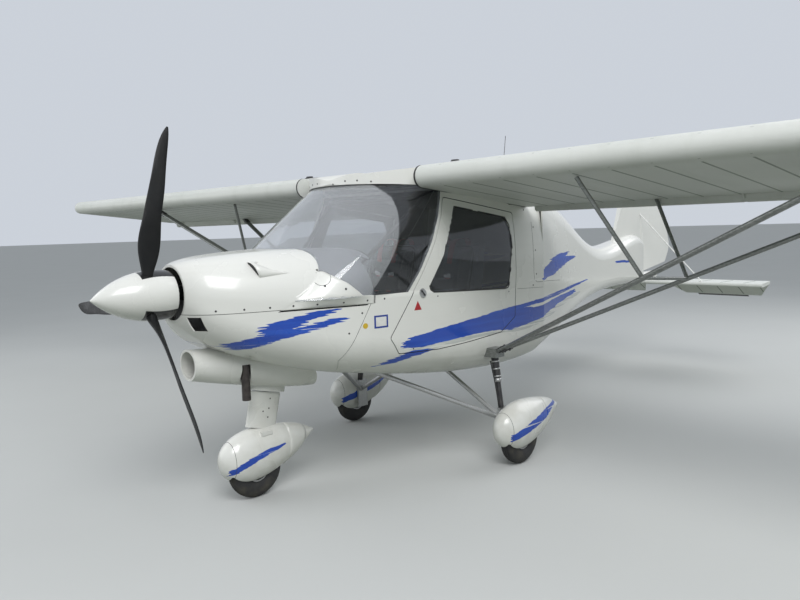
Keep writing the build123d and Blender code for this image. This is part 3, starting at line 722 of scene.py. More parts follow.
HUB_BOLT = ((0, 0.006), (0.006, 0.006), (0.0075, 0.004), (0.0075, -0.003), (0, -0.003))
HUB_HALF = 0.044
BOLT_CIRCLE = 0.046
BOLT_Y = 0.0085


def make_wheels():
    outline = [*TYRE_OUTLINE, *((r, -w) for r, w in reversed(TYRE_OUTLINE)), (0.074, 0.0)]
    for name, node, body, x, y in WHEELS:
        tread = bmesh.new()
        axle = moved(x, y, WHEEL_RADIUS)
        add_lathe(tread, axle @ turned(90, "X"), outline, 72, closed=True)
        tyre = piece(f"tyre_tread_{name}", tread, "tyre_rubber", body)
        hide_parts(node)
        hub = bmesh.new()
        for side in (-1, 1):
            add_lathe(hub, axle @ moved(0, side * HUB_HALF, 0) @ turned(-side * 90, "X"), HUB_CAP)
            for a, b in circle(6, BOLT_CIRCLE):
                place = Vector((x + a, y + side * BOLT_Y, WHEEL_RADIUS + b))
                add_lathe(hub, frame_at(place, side * SIDEWAYS), HUB_BOLT, 6)
        piece(f"hub_fittings_{name}", hub, "black_steel", body, smooth=False)


# Seats

SEAT_MIDDLE_Y = 0.265
SEAT_HALF = 0.225
PAD_STEPS = 14
PAD_VOXEL = 0.0075
PAD_SWELL = 0.009
SEAM_WIDTH = 0.0075
SEAM_V = 0.66
STRAP_WIDTH = 0.045
STRAP_HALF_THICK = 0.0012
PIPING_RADIUS = 0.0035
SHELL_HALF = SEAT_HALF + 0.006
BASE_OUTLINE = ((0.800, 0.702), (1.284, 0.702), (1.296, 0.790), (0.925, 0.762), (0.776, 1.372),
                (0.722, 1.398), (0.706, 1.390))
PAD_PULL = 0.035
PAD_CORNER = 0.03
SEWN_ABOVE = 0.02
SEAM_DEPTH = 0.0075
CHANNEL_DEPTH = 0.0085


class Pad:
    """A seat pad, lying on the line between two places and facing one way from it."""

    def __init__(self, part, low, high, thick, channels, facing):
        self.part = part
        self.low = Vector(low)
        self.length = (Vector(high) - self.low).length
        self.way = (Vector(high) - self.low).normalized()
        self.out = facing * self.way.cross(SIDEWAYS)
        self.thick = thick
        self.channels = channels

    def at(self, along, aside, height):
        return self.low + self.way * along + SIDEWAYS * aside + self.out * height

    def spot(self, u, v, top):
        """A place on the crowned top or on the underside, where u and v run from -1 to 1."""
        corner = PAD_CORNER * abs(u * v) ** 6
        pull_u = 1 - PAD_PULL * (1 - u * u) - corner
        pull_v = 1 - PAD_PULL * (1 - v * v) - corner
        crown = (1 - u ** 6) * (1 - v ** 6)
        lift = self.thick * (0.45 + 0.55 * crown if top else 0.30 * (1 - crown))
        return self.at(self.length * (0.5 + 0.5 * u * pull_v), SEAT_HALF * v * pull_u, lift)

    def make(self):
        bm = bmesh.new()
        steps = evenly(-1, 1, PAD_STEPS)
        add_layers(bm, *([[self.spot(u, v, top) for v in steps] for u in steps] for top in (False, True)))
        name = f"pad_{self.part}"
        self.obj = linked(name, ended(name, bm))
        puff(self.obj, PAD_SWELL)
        self.sew()
        relax = self.obj.modifiers.new("relax", "SMOOTH")
        relax.factor = 0.4
        relax.iterations = 2
        apply_modifiers(self.obj)

    def sew(self):
        """Sewn channels across the pad, and a seam along each of its sides."""
        for vertex in self.obj.data.vertices:
            local = vertex.co - self.low
            if local.dot(self.out) < SEWN_ABOVE:
                continue
            along = local.dot(self.way)
            sink = SEAM_DEPTH * exp(-((abs(local.y) - SEAM_V * SEAT_HALF) / SEAM_WIDTH) ** 2)
            for channel in self.channels:
                sink += CHANNEL_DEPTH * exp(-((along - channel * self.length) / SEAM_WIDTH) ** 2)
            vertex.co -= self.out * sink

    def outline(self, height, inset, corner=0.05):
        """A loop round the pad with rounded corners."""
        points = []
        half = SEAT_HALF - inset - corner
        near = inset + corner
        far = self.length - inset - corner
        for along, aside, start in ((far, half, 0), (near, half, 90), (near, -half, 180), (far, -half, 270)):
            for angle in evenly(start, start + 90, 6):
                x, y = cos(radians(angle)), sin(radians(angle))
                points.append(self.at(along + corner * x, aside + corner * y, height))
        return points


def apply_modifiers(obj):
    graph = bpy.context.evaluated_depsgraph_get()
    graph.update()
    mesh = bpy.data.meshes.new_from_object(obj.evaluated_get(graph))
    obj.modifiers.clear()
    obj.data = mesh


def puff(obj, cap):
    """Swells the pad like a stuffed cover, each point moving by the cap at most."""
    remesh = obj.modifiers.new("remesh", "REMESH")
    remesh.mode = "VOXEL"
    remesh.voxel_size = PAD_VOXEL
    apply_modifiers(obj)
    before = [v.co.copy() for v in obj.data.vertices]
    cloth = obj.modifiers.new("cloth", "CLOTH")
    cloth.settings.use_pressure = True
    cloth.settings.uniform_pressure_force = 4
    cloth.settings.effector_weights.gravity = 0
    for step in range(1, 21):
        scene.frame_set(step)
    graph = bpy.context.evaluated_depsgraph_get()
    swollen = [v.co.copy() for v in obj.evaluated_get(graph).data.vertices]
    obj.modifiers.clear()
    for vertex, start, end in zip(obj.data.vertices, before, swollen):
        move = end - start
        if move.length > cap:
            move *= cap / move.length
        vertex.co = start + move
    scene.frame_set(1)


def make_seats():
    forms = [
        Pad("cushion", (0.955, 0, 0.774), (1.288, 0, 0.798), 0.072, (0.33, 0.66), 1),
        Pad("back", (0.918, 0, 0.828), (0.786, 0, 1.376), 0.070, (0.22, 0.42, 0.62, 0.82), -1),
    ]
    for form in forms:
        form.make()
    for name, side in SIDES:
        shift = side * SEAT_MIDDLE_Y * SIDEWAYS
        piping = bmesh.new()
        for form in forms:
            mesh = form.obj.data.copy()
            mesh.name = f"seat_{form.part}_{name}"
            for vertex in mesh.vertices:
                vertex.co += shift
            mesh.materials.clear()
            mesh.materials.append(FINISHES["seat_fabric"])
            for polygon in mesh.polygons:
                polygon.use_smooth = True
                polygon.material_index = 0
            pad = linked(mesh.name, mesh)
            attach(pad, "root")
            loop = [p + shift for p in form.outline(form.thick * 0.42, -0.004)]
            add_tube(piping, loop, PIPING_RADIUS, 8, closed=True)
        piece(f"seat_piping_{name}", piping, "black_seal", slot="seat_fabric")
        shells = bmesh.new()
        sides = [[shells.verts.new((x, side * SEAT_MIDDLE_Y + end * SHELL_HALF, z))
                  for x, z in BASE_OUTLINE] for end in (-1, 1)]
        join_rings(shells, sides, capped=True)
        shell = piece(f"seat_shell_{name}", shells, "grey_plastic", smooth=False)
        bevelled(shell, 0.012, 3)
        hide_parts(f"seat_{name}")
        make_belts(name, side * SEAT_MIDDLE_Y)
    for form in forms:
        bpy.data.objects.remove(form.obj)


def add_strap(bm, run, y, edge, flat_way):
    """Flat webbing along (x, distance from y, z) places, its width near the given way."""
    points = smooth_path([(x, y + edge * aside, z) for x, aside, z in run])
    rows = []
    for point, way in zip(points, ways(points)):
        across = (flat_way - flat_way.dot(way) * way).normalized()
        up = way.cross(across)
        rows.append([bm.verts.new(point + across * a * STRAP_WIDTH / 2 + up * b * STRAP_HALF_THICK)
                     for a, b in SQUARE])
    join_rings(bm, rows, capped=True)


SHOULDER_BELT = ((0.700, 0.085, 1.30), (0.706, 0.082, 1.418), (0.765, 0.078, 1.438), (0.852, 0.075, 1.405),
                 (0.900, 0.070, 1.22), (0.948, 0.060, 1.02), (1.000, 0.040, 0.915), (1.050, 0.012, 0.893))
LAP_BELT = ((0.960, 0.245, 0.760), (0.985, 0.240, 0.840), (1.010, 0.190, 0.893), (1.040, 0.100, 0.897),
            (1.055, 0.020, 0.893))
BUCKLE = ((0, 0.012), (0.020, 0.012), (0.030, 0.008), (0.032, 0.0), (0.032, -0.006), (0, -0.006))
BUCKLE_X = 1.055
BUCKLE_Z = 0.898
SLIDE_SIZE = (0.058, 0.030, 0.009)


def make_belts(name, y):
    webbing = bmesh.new()
    metal = bmesh.new()
    add_lathe(metal, frame_at(Vector((BUCKLE_X, y, BUCKLE_Z)), Vector((-0.1, 0, 1)), FORWARD), BUCKLE, 28)
    for edge in (-1, 1):
        add_strap(webbing, SHOULDER_BELT, y, edge, SIDEWAYS)
        add_strap(webbing, LAP_BELT, y, edge, Vector((1, 0, 0.2)))
        slide = frame_at(Vector((0.905, y + edge * 0.069, 1.20)), Vector((0.97, 0, 0.25)), SIDEWAYS)
        add_block(metal, slide, SLIDE_SIZE)
    piece(f"seat_belts_{name}", webbing, "belt_webbing", smooth=False)
    bevelled(piece(f"belt_buckles_{name}", metal, "brushed_alloy", smooth=False), 0.002)


# Cabin fittings

HOOD_HALF = 0.40
HOOD_FRONT_X = 1.776
HOOD_REACH = 0.130
HOOD_BOW = 0.015
HOOD_LIFT = 0.003
HOOD_THICK = 0.010
LIP_RADIUS = 0.008


def make_hood():
    """The padded cover over the instruments, from the panel's hood back to its rolled lip."""
    tree = surface("instrument_panel")
    arc = [(y, vertical_hit(tree, HOOD_FRONT_X - 0.008, y, True)[0].z + HOOD_LIFT)
           for y in evenly(-HOOD_HALF, HOOD_HALF, 24)]
    rows = []
    for t in evenly(0, 1, 8):
        x = HOOD_FRONT_X - HOOD_REACH * t
        drop = 0.008 * t + 0.010 * t * t
        rows.append([Vector((x - HOOD_BOW * t * (1 - (y / HOOD_HALF) ** 2), y * (1 - 0.03 * t), z - drop))
                     for y, z in arc])
    cover = bmesh.new()
    add_layers(cover, rows, [[p - HOOD_THICK * UPWARD for p in row] for row in rows])
    bevelled(piece("instrument_hood", cover, "hood_cloth"), 0.003)
    lip = bmesh.new()
    add_tube(lip, [p - Vector((0.002, 0, 0.005)) for p in rows[-1]], LIP_RADIUS)
    piece("instrument_hood_lip", lip, "black_seal", slot="grey_plastic")


PANEL_X = 1.7598
# The dials' y, z and radius
DIALS = ((-0.36, 1.205, 0.040), (-0.26, 1.205, 0.040), (-0.15, 1.215, 0.046), (-0.03, 1.215, 0.046),
         (0.10, 1.215, 0.046), (0.22, 1.205, 0.040), (0.32, 1.205, 0.040),
         (-0.30, 1.110, 0.028), (-0.20, 1.110, 0.028), (0.18, 1.110, 0.028), (0.28, 1.110, 0.028))
KNOB = ((0, 0.018), (0.003, 0.018), (0.004, 0.006), (0.009, 0.005), (0.009, -0.001), (0, -0.001))
GRIP = ((0.0121, 0.235), (0.017, 0.238), (0.019, 0.255), (0.0175, 0.270), (0.0195, 0.286), (0.018, 0.302),
        (0.0195, 0.318), (0.018, 0.330), (0.0150, 0.336), (0.0121, 0.336))
FIRST_KNOB_Y = -0.13
KNOB_PITCH = 0.036
KNOB_Z = 1.115
STICK_FOOT = Vector((1.400, 0, 0.700))
STICK_TOP = Vector((1.380, 0, 1.040))


def add_dial(bezels, faces, marks, y, z, radius):
    """One instrument with its ticks and its needle."""
    place = frame_at(Vector((PANEL_X, y, z)), -FORWARD, UPWARD)
    bezel = ((radius + 0.006, -0.002), (radius + 0.006, 0.006), (radius + 0.001, 0.009),
             (radius - 0.003, 0.004), (radius - 0.003, -0.002))
    add_lathe(bezels, place, bezel, 40, closed=True)
    disc = ((0, 0.0022), (radius - 0.004, 0.0022), (radius - 0.004, -0.001), (0, -0.001))
    add_lathe(faces, place, disc, 40)
    for angle in evenly(-135, 135, 10):
        tick = place @ turned(angle, "Z") @ moved(radius * 0.74, 0, 0.0026)
        add_block(marks, tick, (radius * 0.20, 0.0016, 0.0006))
    needle = place @ turned(-60 + 111 * (z + y), "Z") @ moved(radius * 0.28, 0, 0.0032)
    add_block(marks, needle, (radius * 0.7, 0.0022, 0.0008))


def make_cabin_fittings():
    bezels, faces, marks, grip = (bmesh.new() for _ in range(4))
    for dial in DIALS:
        add_dial(bezels, faces, marks, *dial)
    for k in range(8):
        knob = Vector((PANEL_X, FIRST_KNOB_Y + KNOB_PITCH * k, KNOB_Z))
        add_lathe(bezels, frame_at(knob, -FORWARD, UPWARD), KNOB, 14)
    piece("instrument_bezels", bezels, "black_steel")
    piece("instrument_faces", faces, "dial_face", smooth=False)
    piece("instrument_marks", marks, "white_steel", smooth=False)
    stick = frame_at(STICK_FOOT, STICK_TOP - STICK_FOOT, FORWARD)
    add_lathe(grip, stick, GRIP, 24, closed=True)
    folds = [(0.062, 0.001)]
    for k in range(7):
        folds.append((0.058 - 0.007 * k, 0.010 + 0.013 * k))
        folds.append((0.048 - 0.005 * k, 0.016 + 0.013 * k))
    folds += [(0.0121, 0.103), (0.0121, 0.001)]
    add_lathe(grip, stick, folds, 32, closed=True)
    piece("stick_grip_and_boot", grip, "black_seal", slot="grey_plastic")


# Outside fittings, most of them as x, z in side view

HATCH_LINE = ((0.282, 1.535), (0.285, 1.411), (0.288, 1.190), (0.280, 1.140), (0.249, 1.118))
REAR_LINE = ((0.249, 1.118), (0.0, 1.108), (-0.247, 1.092))
SHORT_LINE = ((0.500, 1.090), (0.16, 1.075))
DOOR_EDGE = ((1.243, 1.572), (1.312, 1.431), (1.414, 1.266), (1.516, 1.118), (1.600, 1.000), (1.668, 0.902),
             (1.668, 0.894), (1.602, 0.802), (1.588, 0.796), (1.297, 0.790), (1.016, 0.800), (0.700, 0.820))
WINDOW_EDGE = ((1.108, 1.640), (0.604, 1.570), (0.566, 1.520), (0.553, 1.450), (0.550, 1.370), (0.600, 1.124),
               (0.615, 1.108), (0.650, 1.105), (1.330, 1.137), (1.352, 1.150), (1.360, 1.175), (1.240, 1.351),
               (1.160, 1.528))
WAIST_Z = 1.128
WAIST_SCREWS = (2.584, 2.460, 2.335, 2.215, 2.100, 1.960, 1.815)
LOWER_COWL_SCREWS = ((1.845, 1.060), (1.925, 0.955))
CABIN_SCREWS = ((0.262, 1.500), (0.258, 1.340), (0.255, 1.175), (1.700, WAIST_Z), (0.36, 1.62), (0.30, 1.10))
DOOR_SCREWS = ((1.30, 1.110), (0.60, 1.080), (0.640, 0.850), (1.50, 0.820))
LEG_SCREWS = ((2.128, 0.560), (2.140, 0.505), (2.150, 0.455), (2.180, 0.495))
ROOF_SCREW_PIXELS = ((333, 184.5), (345, 181), (357, 180.5), (371, 181.5), (387, 186), (405, 191.5),
                     (422, 193.5), (436, 195.5))
HATCH_WIDTH = 0.0028
SHORT_WIDTH = 0.0022
WINDOW_SEAL_WIDTH = 0.010
WINDOW_SEAL_RISE = 0.0012
DOOR_GAP_WIDTH = 0.0046
DOOR_GAP_DEPTH = 0.0022


def make_fasteners(shoulders):
    for label, tree, spots in (
            ("cowl_upper", surface("cowl_upper", meshes=shoulders), [(x, WAIST_Z) for x in WAIST_SCREWS]),
            ("cowl_lower", surface("cowl_lower"), LOWER_COWL_SCREWS),
            ("cabin", surface("cabin_shell"), CABIN_SCREWS)):
        bm = bmesh.new()
        add_screws(bm, tree, spots)
        piece(f"screws_{label}", bm, "black_steel")
    tree = surface("windscreen", "roof_fairing", "cabin_shell")
    bm = bmesh.new()
    for px, py in ROOF_SCREW_PIXELS:
        place, normal = photo_hit(tree, px, py)
        for side in (PORT, STARBOARD) if place.y > 0.08 else (PORT,):
            mirror = Vector((1, side, 1))
            add_screw(bm, place * mirror, normal * mirror, SCREW_RADIUS)
    piece("screws_roof", bm, "black_steel")


def make_seams():
    bm = bmesh.new()
    tree = surface("cabin_shell", "rear_fuselage")
    for side in (PORT, STARBOARD):
        for line, width in ((HATCH_LINE, HATCH_WIDTH), (REAR_LINE, HATCH_WIDTH), (SHORT_LINE, SHORT_WIDTH)):
            add_ribbon(bm, side_path(tree, line, side), width)
    piece("hatch_seams", bm, "black_seal", smooth=False)
    for name, side in SIDES:
        tree = surface("cabin_shell", f"door_{name}", "windscreen")
        bm = bmesh.new()
        path = []
        for p in spaced([(x, 0, z) for x, z in DOOR_EDGE], 0.02):
            place, _ = side_hit(tree, p.x + 0.006, p.z, side)
            if place is not None:
                place = tree.find_nearest(Vector((p.x, place.y, p.z)))[0]
                path.append((Vector((p.x, place.y - side * DOOR_GAP_DEPTH, p.z)), side * SIDEWAYS))
        add_ribbon(bm, path, DOOR_GAP_WIDTH, 0.0002)
        piece(f"door_seal_{name}", bm, "black_seal", smooth=False)
        tree = surface(f"door_glass_{name}", f"door_{name}")
        bm = bmesh.new()
        loop = side_path(tree, WINDOW_EDGE + WINDOW_EDGE[:1], side, 0.015)[:-1]
        add_ribbon(bm, loop, WINDOW_SEAL_WIDTH, WINDOW_SEAL_RISE, closed=True)
        piece(f"window_seal_{name}", bm, "black_seal", f"door_{name}", smooth=False)


def split_edges(corners, count):
    """The outline's points, with each edge in equal steps."""
    corners = [Vector(p) for p in corners]
    return [p for a, b in zip(corners, corners[1:] + corners[:1]) for p in evenly(a, b, count)[:-1]]


def box_outline(x0, x1, z0, z1):
    return split_edges(((x0, z0), (x1, z0), (x1, z1), (x0, z1)), 4)


DISC_OUTLINE = [(1.828 + a, 0.987 + b) for a, b in circle(28, 0.0155)]
TRIANGLE = ((1.492, 1.042), (1.434, 1.042), (1.463, 1.096))
LOCK_PLATE = ((0, 0.0035), (0.006, 0.0035), (0.007, 0.002), (0.024, 0.002), (0.027, 0.0010),
              (0.027, -0.002), (0, -0.002))


def add_plate(bm, tree, side, outline, rise):
    """A thin plate on the body's side, its outline in x, z and its faces following the surface."""
    middle_x = sum(p[0] for p in outline) / len(outline)
    middle_z = sum(p[1] for p in outline) / len(outline)
    top = rise + 0.0003
    rings = []
    for scale, lift in ((0, SUNK), (1, SUNK), (1, rise), (0.97, top), (0.5, top), (0, top)):
        hits = [side_hit(tree, middle_x + (x - middle_x) * scale, middle_z + (z - middle_z) * scale, side)
                for x, z in (outline if scale else outline[:1])]
        rings.append([bm.verts.new(place + normal * lift) for place, normal in hits])
    join_rings(bm, rings)


PLATE_RISE = 0.0004
UPPER_PLATE_RISE = 0.0010
LOCK = (1.420, 1.138)
LATCH_SIZE = (0.040, 0.007, 0.006)


def make_plates():
    cabin = surface("cabin_shell")
    for label, finish, outline, rise in (
            ("yellow_disc", "yellow_plate", DISC_OUTLINE, PLATE_RISE),
            ("blank_plate_edge", "plate_blue", box_outline(1.681, 1.772, 0.966, 1.038), PLATE_RISE),
            ("blank_plate", "white_steel", box_outline(1.692, 1.761, 0.976, 1.028), UPPER_PLATE_RISE)):
        bm = bmesh.new()
        add_plate(bm, cabin, PORT, outline, rise)
        piece(label, bm, finish, slot="grey_plastic", smooth=False)
    for name, side in SIDES:
        body = f"door_{name}"
        door = surface(body)
        sign, plate, latch, screws = (bmesh.new() for _ in range(4))
        add_plate(sign, door, side, split_edges(TRIANGLE, 5), PLATE_RISE)
        piece(f"warning_triangle_{name}", sign, "red_plate", body, "grey_plastic", smooth=False)
        lock = frame_at(*side_hit(door, *LOCK, side), UPWARD)
        add_lathe(plate, lock, LOCK_PLATE, 36)
        piece(f"door_lock_plate_{name}", plate, "brushed_alloy", body, smooth=False)
        add_block(latch, lock @ turned(35, "Z") @ moved(0, 0, 0.0052), LATCH_SIZE)
        bevelled(piece(f"door_latch_{name}", latch, "black_steel", body, smooth=False), 0.0018)
        add_screws(screws, door, DOOR_SCREWS, SMALL_SCREW_RADIUS, (side,))
        piece(f"screws_door_{name}", screws, "black_steel", body)


# Wing and tail fabric

RIB_YS = tuple(0.742 + 0.207 * k for k in range(19))
TAIL_RIB_YS = tuple(0.205 * k for k in range(-5, 6))
ROOT_SEAL_Y = 0.563
FUEL_CAP = ((0, 0.014), (0.020, 0.014), (0.024, 0.011), (0.026, 0.004), (0.034, 0.0025), (0.036, -0.001),
            (0, -0.001))
WING_TAPE_XS = evenly(1.405, 0.343, 32)
TAIL_TAPE_XS = evenly(-2.36, -3.08, 23)
TAPE_RISE = 0.0006
LOWER_TAPE = 0.012
UPPER_TAPE = 0.016
WING_NOSE_X = 1.360
WING_NOSE_Z = 1.790
ROOT_SEAL_WIDTH = 0.014
ROOT_SEAL_RISE = 0.0014
GAP_SEAL_X = 0.3425
GAP_SEAL_Y = 2.510
GAP_SEAL_Z = 1.637
GAP_SEAL_SIZE = (0.003, 3.740, 0.046)
FUEL_CAP_X = 1.215
FUEL_CAP_Y = 0.690
TRIM_TAB_PLACE = (-3.060, 0.600, 0.7505)
TRIM_TAB_SIZE = (0.046, 0.500, 0.003)


def add_tapes(bm, tree, y, xs, steep, widths):
    """The tapes over one rib, below and above, where the skin isn't steep."""
    for above, width in zip((False, True), widths):
        hits = [vertical_hit(tree, x, y, above) for x in xs]
        path = [hit for hit in hits if hit[0] is not None and abs(hit[1].z) > steep]
        if len(path) > 3:
            add_ribbon(bm, path, width, TAPE_RISE)


def root_loop(tree, y):
    """Round the wing's section at y, from the back of its underside over the nose."""
    xs = evenly(0.350, WING_NOSE_X, 29)
    loop = [vertical_hit(tree, x, y, False) for x in xs]
    middle = Vector((WING_NOSE_X, y, WING_NOSE_Z))
    for angle in evenly(-75, 75, 10):
        out = Vector((cos(radians(angle)), 0, sin(radians(angle))))
        loop.append(tree.ray_cast(middle + out, -out)[:2])
    loop += [vertical_hit(tree, x, y, True) for x in reversed(xs)]
    return [hit for hit in loop if hit[0] is not None]


def make_wing_details():
    for name, side in SIDES:
        tree = surface(f"wing_{name}")
        tapes, seal, strip, cap = (bmesh.new() for _ in range(4))
        for y in RIB_YS:
            add_tapes(tapes, tree, side * y, WING_TAPE_XS, 0.2, (LOWER_TAPE, UPPER_TAPE))
        piece(f"rib_tapes_{name}", tapes, "rib_tape", smooth=False)
        add_ribbon(seal, root_loop(tree, side * ROOT_SEAL_Y), ROOT_SEAL_WIDTH, ROOT_SEAL_RISE)
        piece(f"wing_root_seal_{name}", seal, "black_seal", smooth=False)
        add_block(strip, moved(GAP_SEAL_X, side * GAP_SEAL_Y, GAP_SEAL_Z) @ turned(9, "Y"), GAP_SEAL_SIZE)
        bevelled(piece(f"gap_seal_{name}", strip, "wing_fabric", smooth=False), 0.001)
        add_lathe(cap, frame_at(*vertical_hit(tree, FUEL_CAP_X, side * FUEL_CAP_Y, True)), FUEL_CAP, 30)
        piece(f"fuel_cap_{name}", cap, "black_steel")
    for node, body in (("stabiliser", "root"), ("elevator", "elevator")):
        tree = surface(node)
        tapes = bmesh.new()
        for y in TAIL_RIB_YS:
            add_tapes(tapes, tree, y, TAIL_TAPE_XS, 0.5, (LOWER_TAPE, LOWER_TAPE))
        piece(f"rib_tapes_{node}", tapes, "rib_tape", body, smooth=False)
    tab = bmesh.new()
    add_block(tab, moved(*TRIM_TAB_PLACE) @ turned(-30, "Y"), TRIM_TAB_SIZE)
    bevelled(piece("trim_tab", tab, "black_steel", "elevator", smooth=False), 0.001)


STRUT_FOOT = (0.797, 0.647, 0.704)
STRUT_TOPS = ((1.310, 2.856, 1.742), (0.388, 2.856, 1.656))
STRUT_BOLT = ((0, -0.022), (0.006, -0.022), (0.006, 0.022), (0, 0.022))
BRAKE_PIPE = ((0.800, 0.600, 0.640), (0.830, 0.636, 0.600), (0.829, 0.655, 0.520), (0.828, 0.672, 0.430),
              (0.826, 0.684, 0.346))
SPRING_TOP = (0.789, 0.627, 0.672)
SPRING_LOW = (0.802, 0.684, 0.352)
SPRING_RING = ((0.0236, -0.005), (0.0272, -0.004), (0.0272, 0.004), (0.0236, 0.005))
SPRING_COLLAR = ((0.0165, -0.010), (0.0255, -0.008), (0.0255, 0.006), (0.0220, 0.014), (0.0165, 0.016))
AERIAL_FOOT = ((0, 0.016), (0.006, 0.015), (0.016, 0.004), (0.020, -0.002), (0, -0.002))
STRUT_END_SIZE = (0.040, 0.033, 0.07)
BRAKE_PIPE_RADIUS = 0.0038
AERIAL_X = -0.126
AERIAL_TIP = Vector((-0.201, 0.0, 2.217))
AERIAL_RADIUS = 0.0022


def make_fittings():
    """Strut ends, brake pipes, the spring struts' rings and the roof aerial."""
    for name, side in SIDES:
        mirror = Vector((1, side, 1))
        ends, pipe, bands = (bmesh.new() for _ in range(3))
        foot = Vector(STRUT_FOOT) * mirror
        for end in STRUT_TOPS:
            top = Vector(end) * mirror
            way = (top - foot).normalized()
            for middle in (foot + way * 0.080, top - way * 0.065):
                place = frame_at(middle, way, FORWARD)
                add_block(ends, place, STRUT_END_SIZE)
                for edge in (-1, 1):
                    add_lathe(ends, place @ moved(0, 0, edge * 0.018) @ turned(90, "X"), STRUT_BOLT, 8)
        bevelled(piece(f"strut_ends_{name}", ends, "black_steel", smooth=False), 0.003)
        add_tube(pipe, smooth_path([Vector(p) * mirror for p in BRAKE_PIPE]), BRAKE_PIPE_RADIUS, 10)
        piece(f"brake_pipe_{name}", pipe, "black_seal")
        top = Vector(SPRING_TOP) * mirror
        way = (Vector(SPRING_LOW) * mirror - top).normalized()
        for along, outline in ((0.03, SPRING_RING), (0.078, SPRING_RING), (0.126, SPRING_RING),
                               (0.148, SPRING_COLLAR)):
            add_lathe(bands, frame_at(top + way * along, way), outline, 28, closed=True)
        piece(f"spring_strut_rings_{name}", bands, "brushed_alloy")
    aerial = bmesh.new()
    place, normal = vertical_hit(surface("rear_fuselage"), AERIAL_X, 0.0, True)
    add_tube(aerial, evenly(place, AERIAL_TIP, 8), AERIAL_RADIUS, 8)
    add_lathe(aerial, frame_at(place, normal), AERIAL_FOOT, 20)
    piece("roof_aerial", aerial, "black_steel")


# The cowl's shoulder beside the windscreen: its upper edge in side view, as x, z
SHOULDER_EDGE = ((1.768, 1.154), (1.853, 1.159), (1.897, 1.195), (1.935, 1.230), (1.969, 1.254),
                 (2.001, 1.278), (2.021, 1.297), (2.046, 1.302), (2.060, 1.285), (2.100, 1.245),
                 (2.140, 1.213), (2.180, 1.184), (2.220, 1.168), (2.290, 1.160))
SHOULDER_LOW_Z = 1.108
SHOULDER_BROW_Z = 1.158
SHOULDER_LIFT = 0.0016
SHOULDER_COLUMNS = 66


def edge_height(x):
    for (x0, z0), (x1, z1) in zip(SHOULDER_EDGE, SHOULDER_EDGE[1:]):
        if x <= x1:
            return z0 + (z1 - z0) * (x - x0) / (x1 - x0)


SHOULDER_BACK_X = 1.770
SHOULDER_FRONT_X = 2.280
SHOULDER_SINK_X = 2.185
SHOULDER_SINK = 0.0034
SHOULDER_THICK = 0.0055


def make_shoulders():
    """The cowl's side from its seam up to the windscreen's foot, as a thin moulded panel."""
    above = surface("windscreen", "cowl_upper", "cabin_shell")
    below = surface("cowl_lower", "cabin_shell")
    made = []
    for name, side in SIDES:
        bm = bmesh.new()
        outer = []
        for x in evenly(SHOULDER_BACK_X, SHOULDER_FRONT_X, SHOULDER_COLUMNS):
            lift = SHOULDER_LIFT - SHOULDER_SINK * min(1.0, max(0.0, (x - SHOULDER_SINK_X) / 0.03))
            foot, _ = side_hit(below, x, 1.094, side)
            brow, _ = side_hit(above, x, SHOULDER_BROW_Z, side)
            low = Vector((x, foot.y + side * lift, SHOULDER_LOW_Z))
            high = Vector((x, brow.y + side * lift, SHOULDER_BROW_Z))
            row = []
            for z in evenly(SHOULDER_LOW_Z, edge_height(x), 10):
                if z < SHOULDER_BROW_Z:
                    row.append(low.lerp(high, (z - SHOULDER_LOW_Z) / (SHOULDER_BROW_Z - SHOULDER_LOW_Z)))
                else:
                    place, normal = side_hit(above, x, z, side)
                    row.append(place + normal * lift)
            outer.append(row)
        add_layers(bm, outer, [[p - side * SHOULDER_THICK * SIDEWAYS for p in row] for row in outer])
        made.append(piece(f"cowl_shoulder_{name}", bm, "white_gelcoat").data)
    return made


OIL_DOOR_PIXEL = (322, 278)
OIL_LATCH_PIXELS = ((317, 270), (325, 286), (346, 289))
# The cowl blister's front and back: middle and half width
BLISTER_FRONT = (Vector((2.372, 0.295, 1.325)), 0.060)
BLISTER_BACK = (Vector((2.110, 0.345, 1.330)), 0.045)
BLISTER_HEIGHT = 0.027
OIL_DOOR_RADIUS = 0.047
OIL_LATCH_RADIUS = 0.0065


def blister_row(tree, side, t):
    """Across the cowl, t of the way back: places, normals and the blister's skin over them."""
    centre = BLISTER_FRONT[0].lerp(BLISTER_BACK[0], t)
    half = BLISTER_FRONT[1] * (1 - t) + BLISTER_BACK[1] * t
    height = BLISTER_HEIGHT * (1 - t) ** 1.3
    across = Vector((-0.18 * (1 - t), 0.76, -0.62)).normalized()
    row = []
    for v in evenly(-1, 1, 8):
        place, normal, _, _ = tree.find_nearest((centre + across * half * v) * Vector((1, side, 1)))
        row.append((place, normal, place + normal * (0.0004 + height * (1 - v * v) ** 0.8)))
    return row


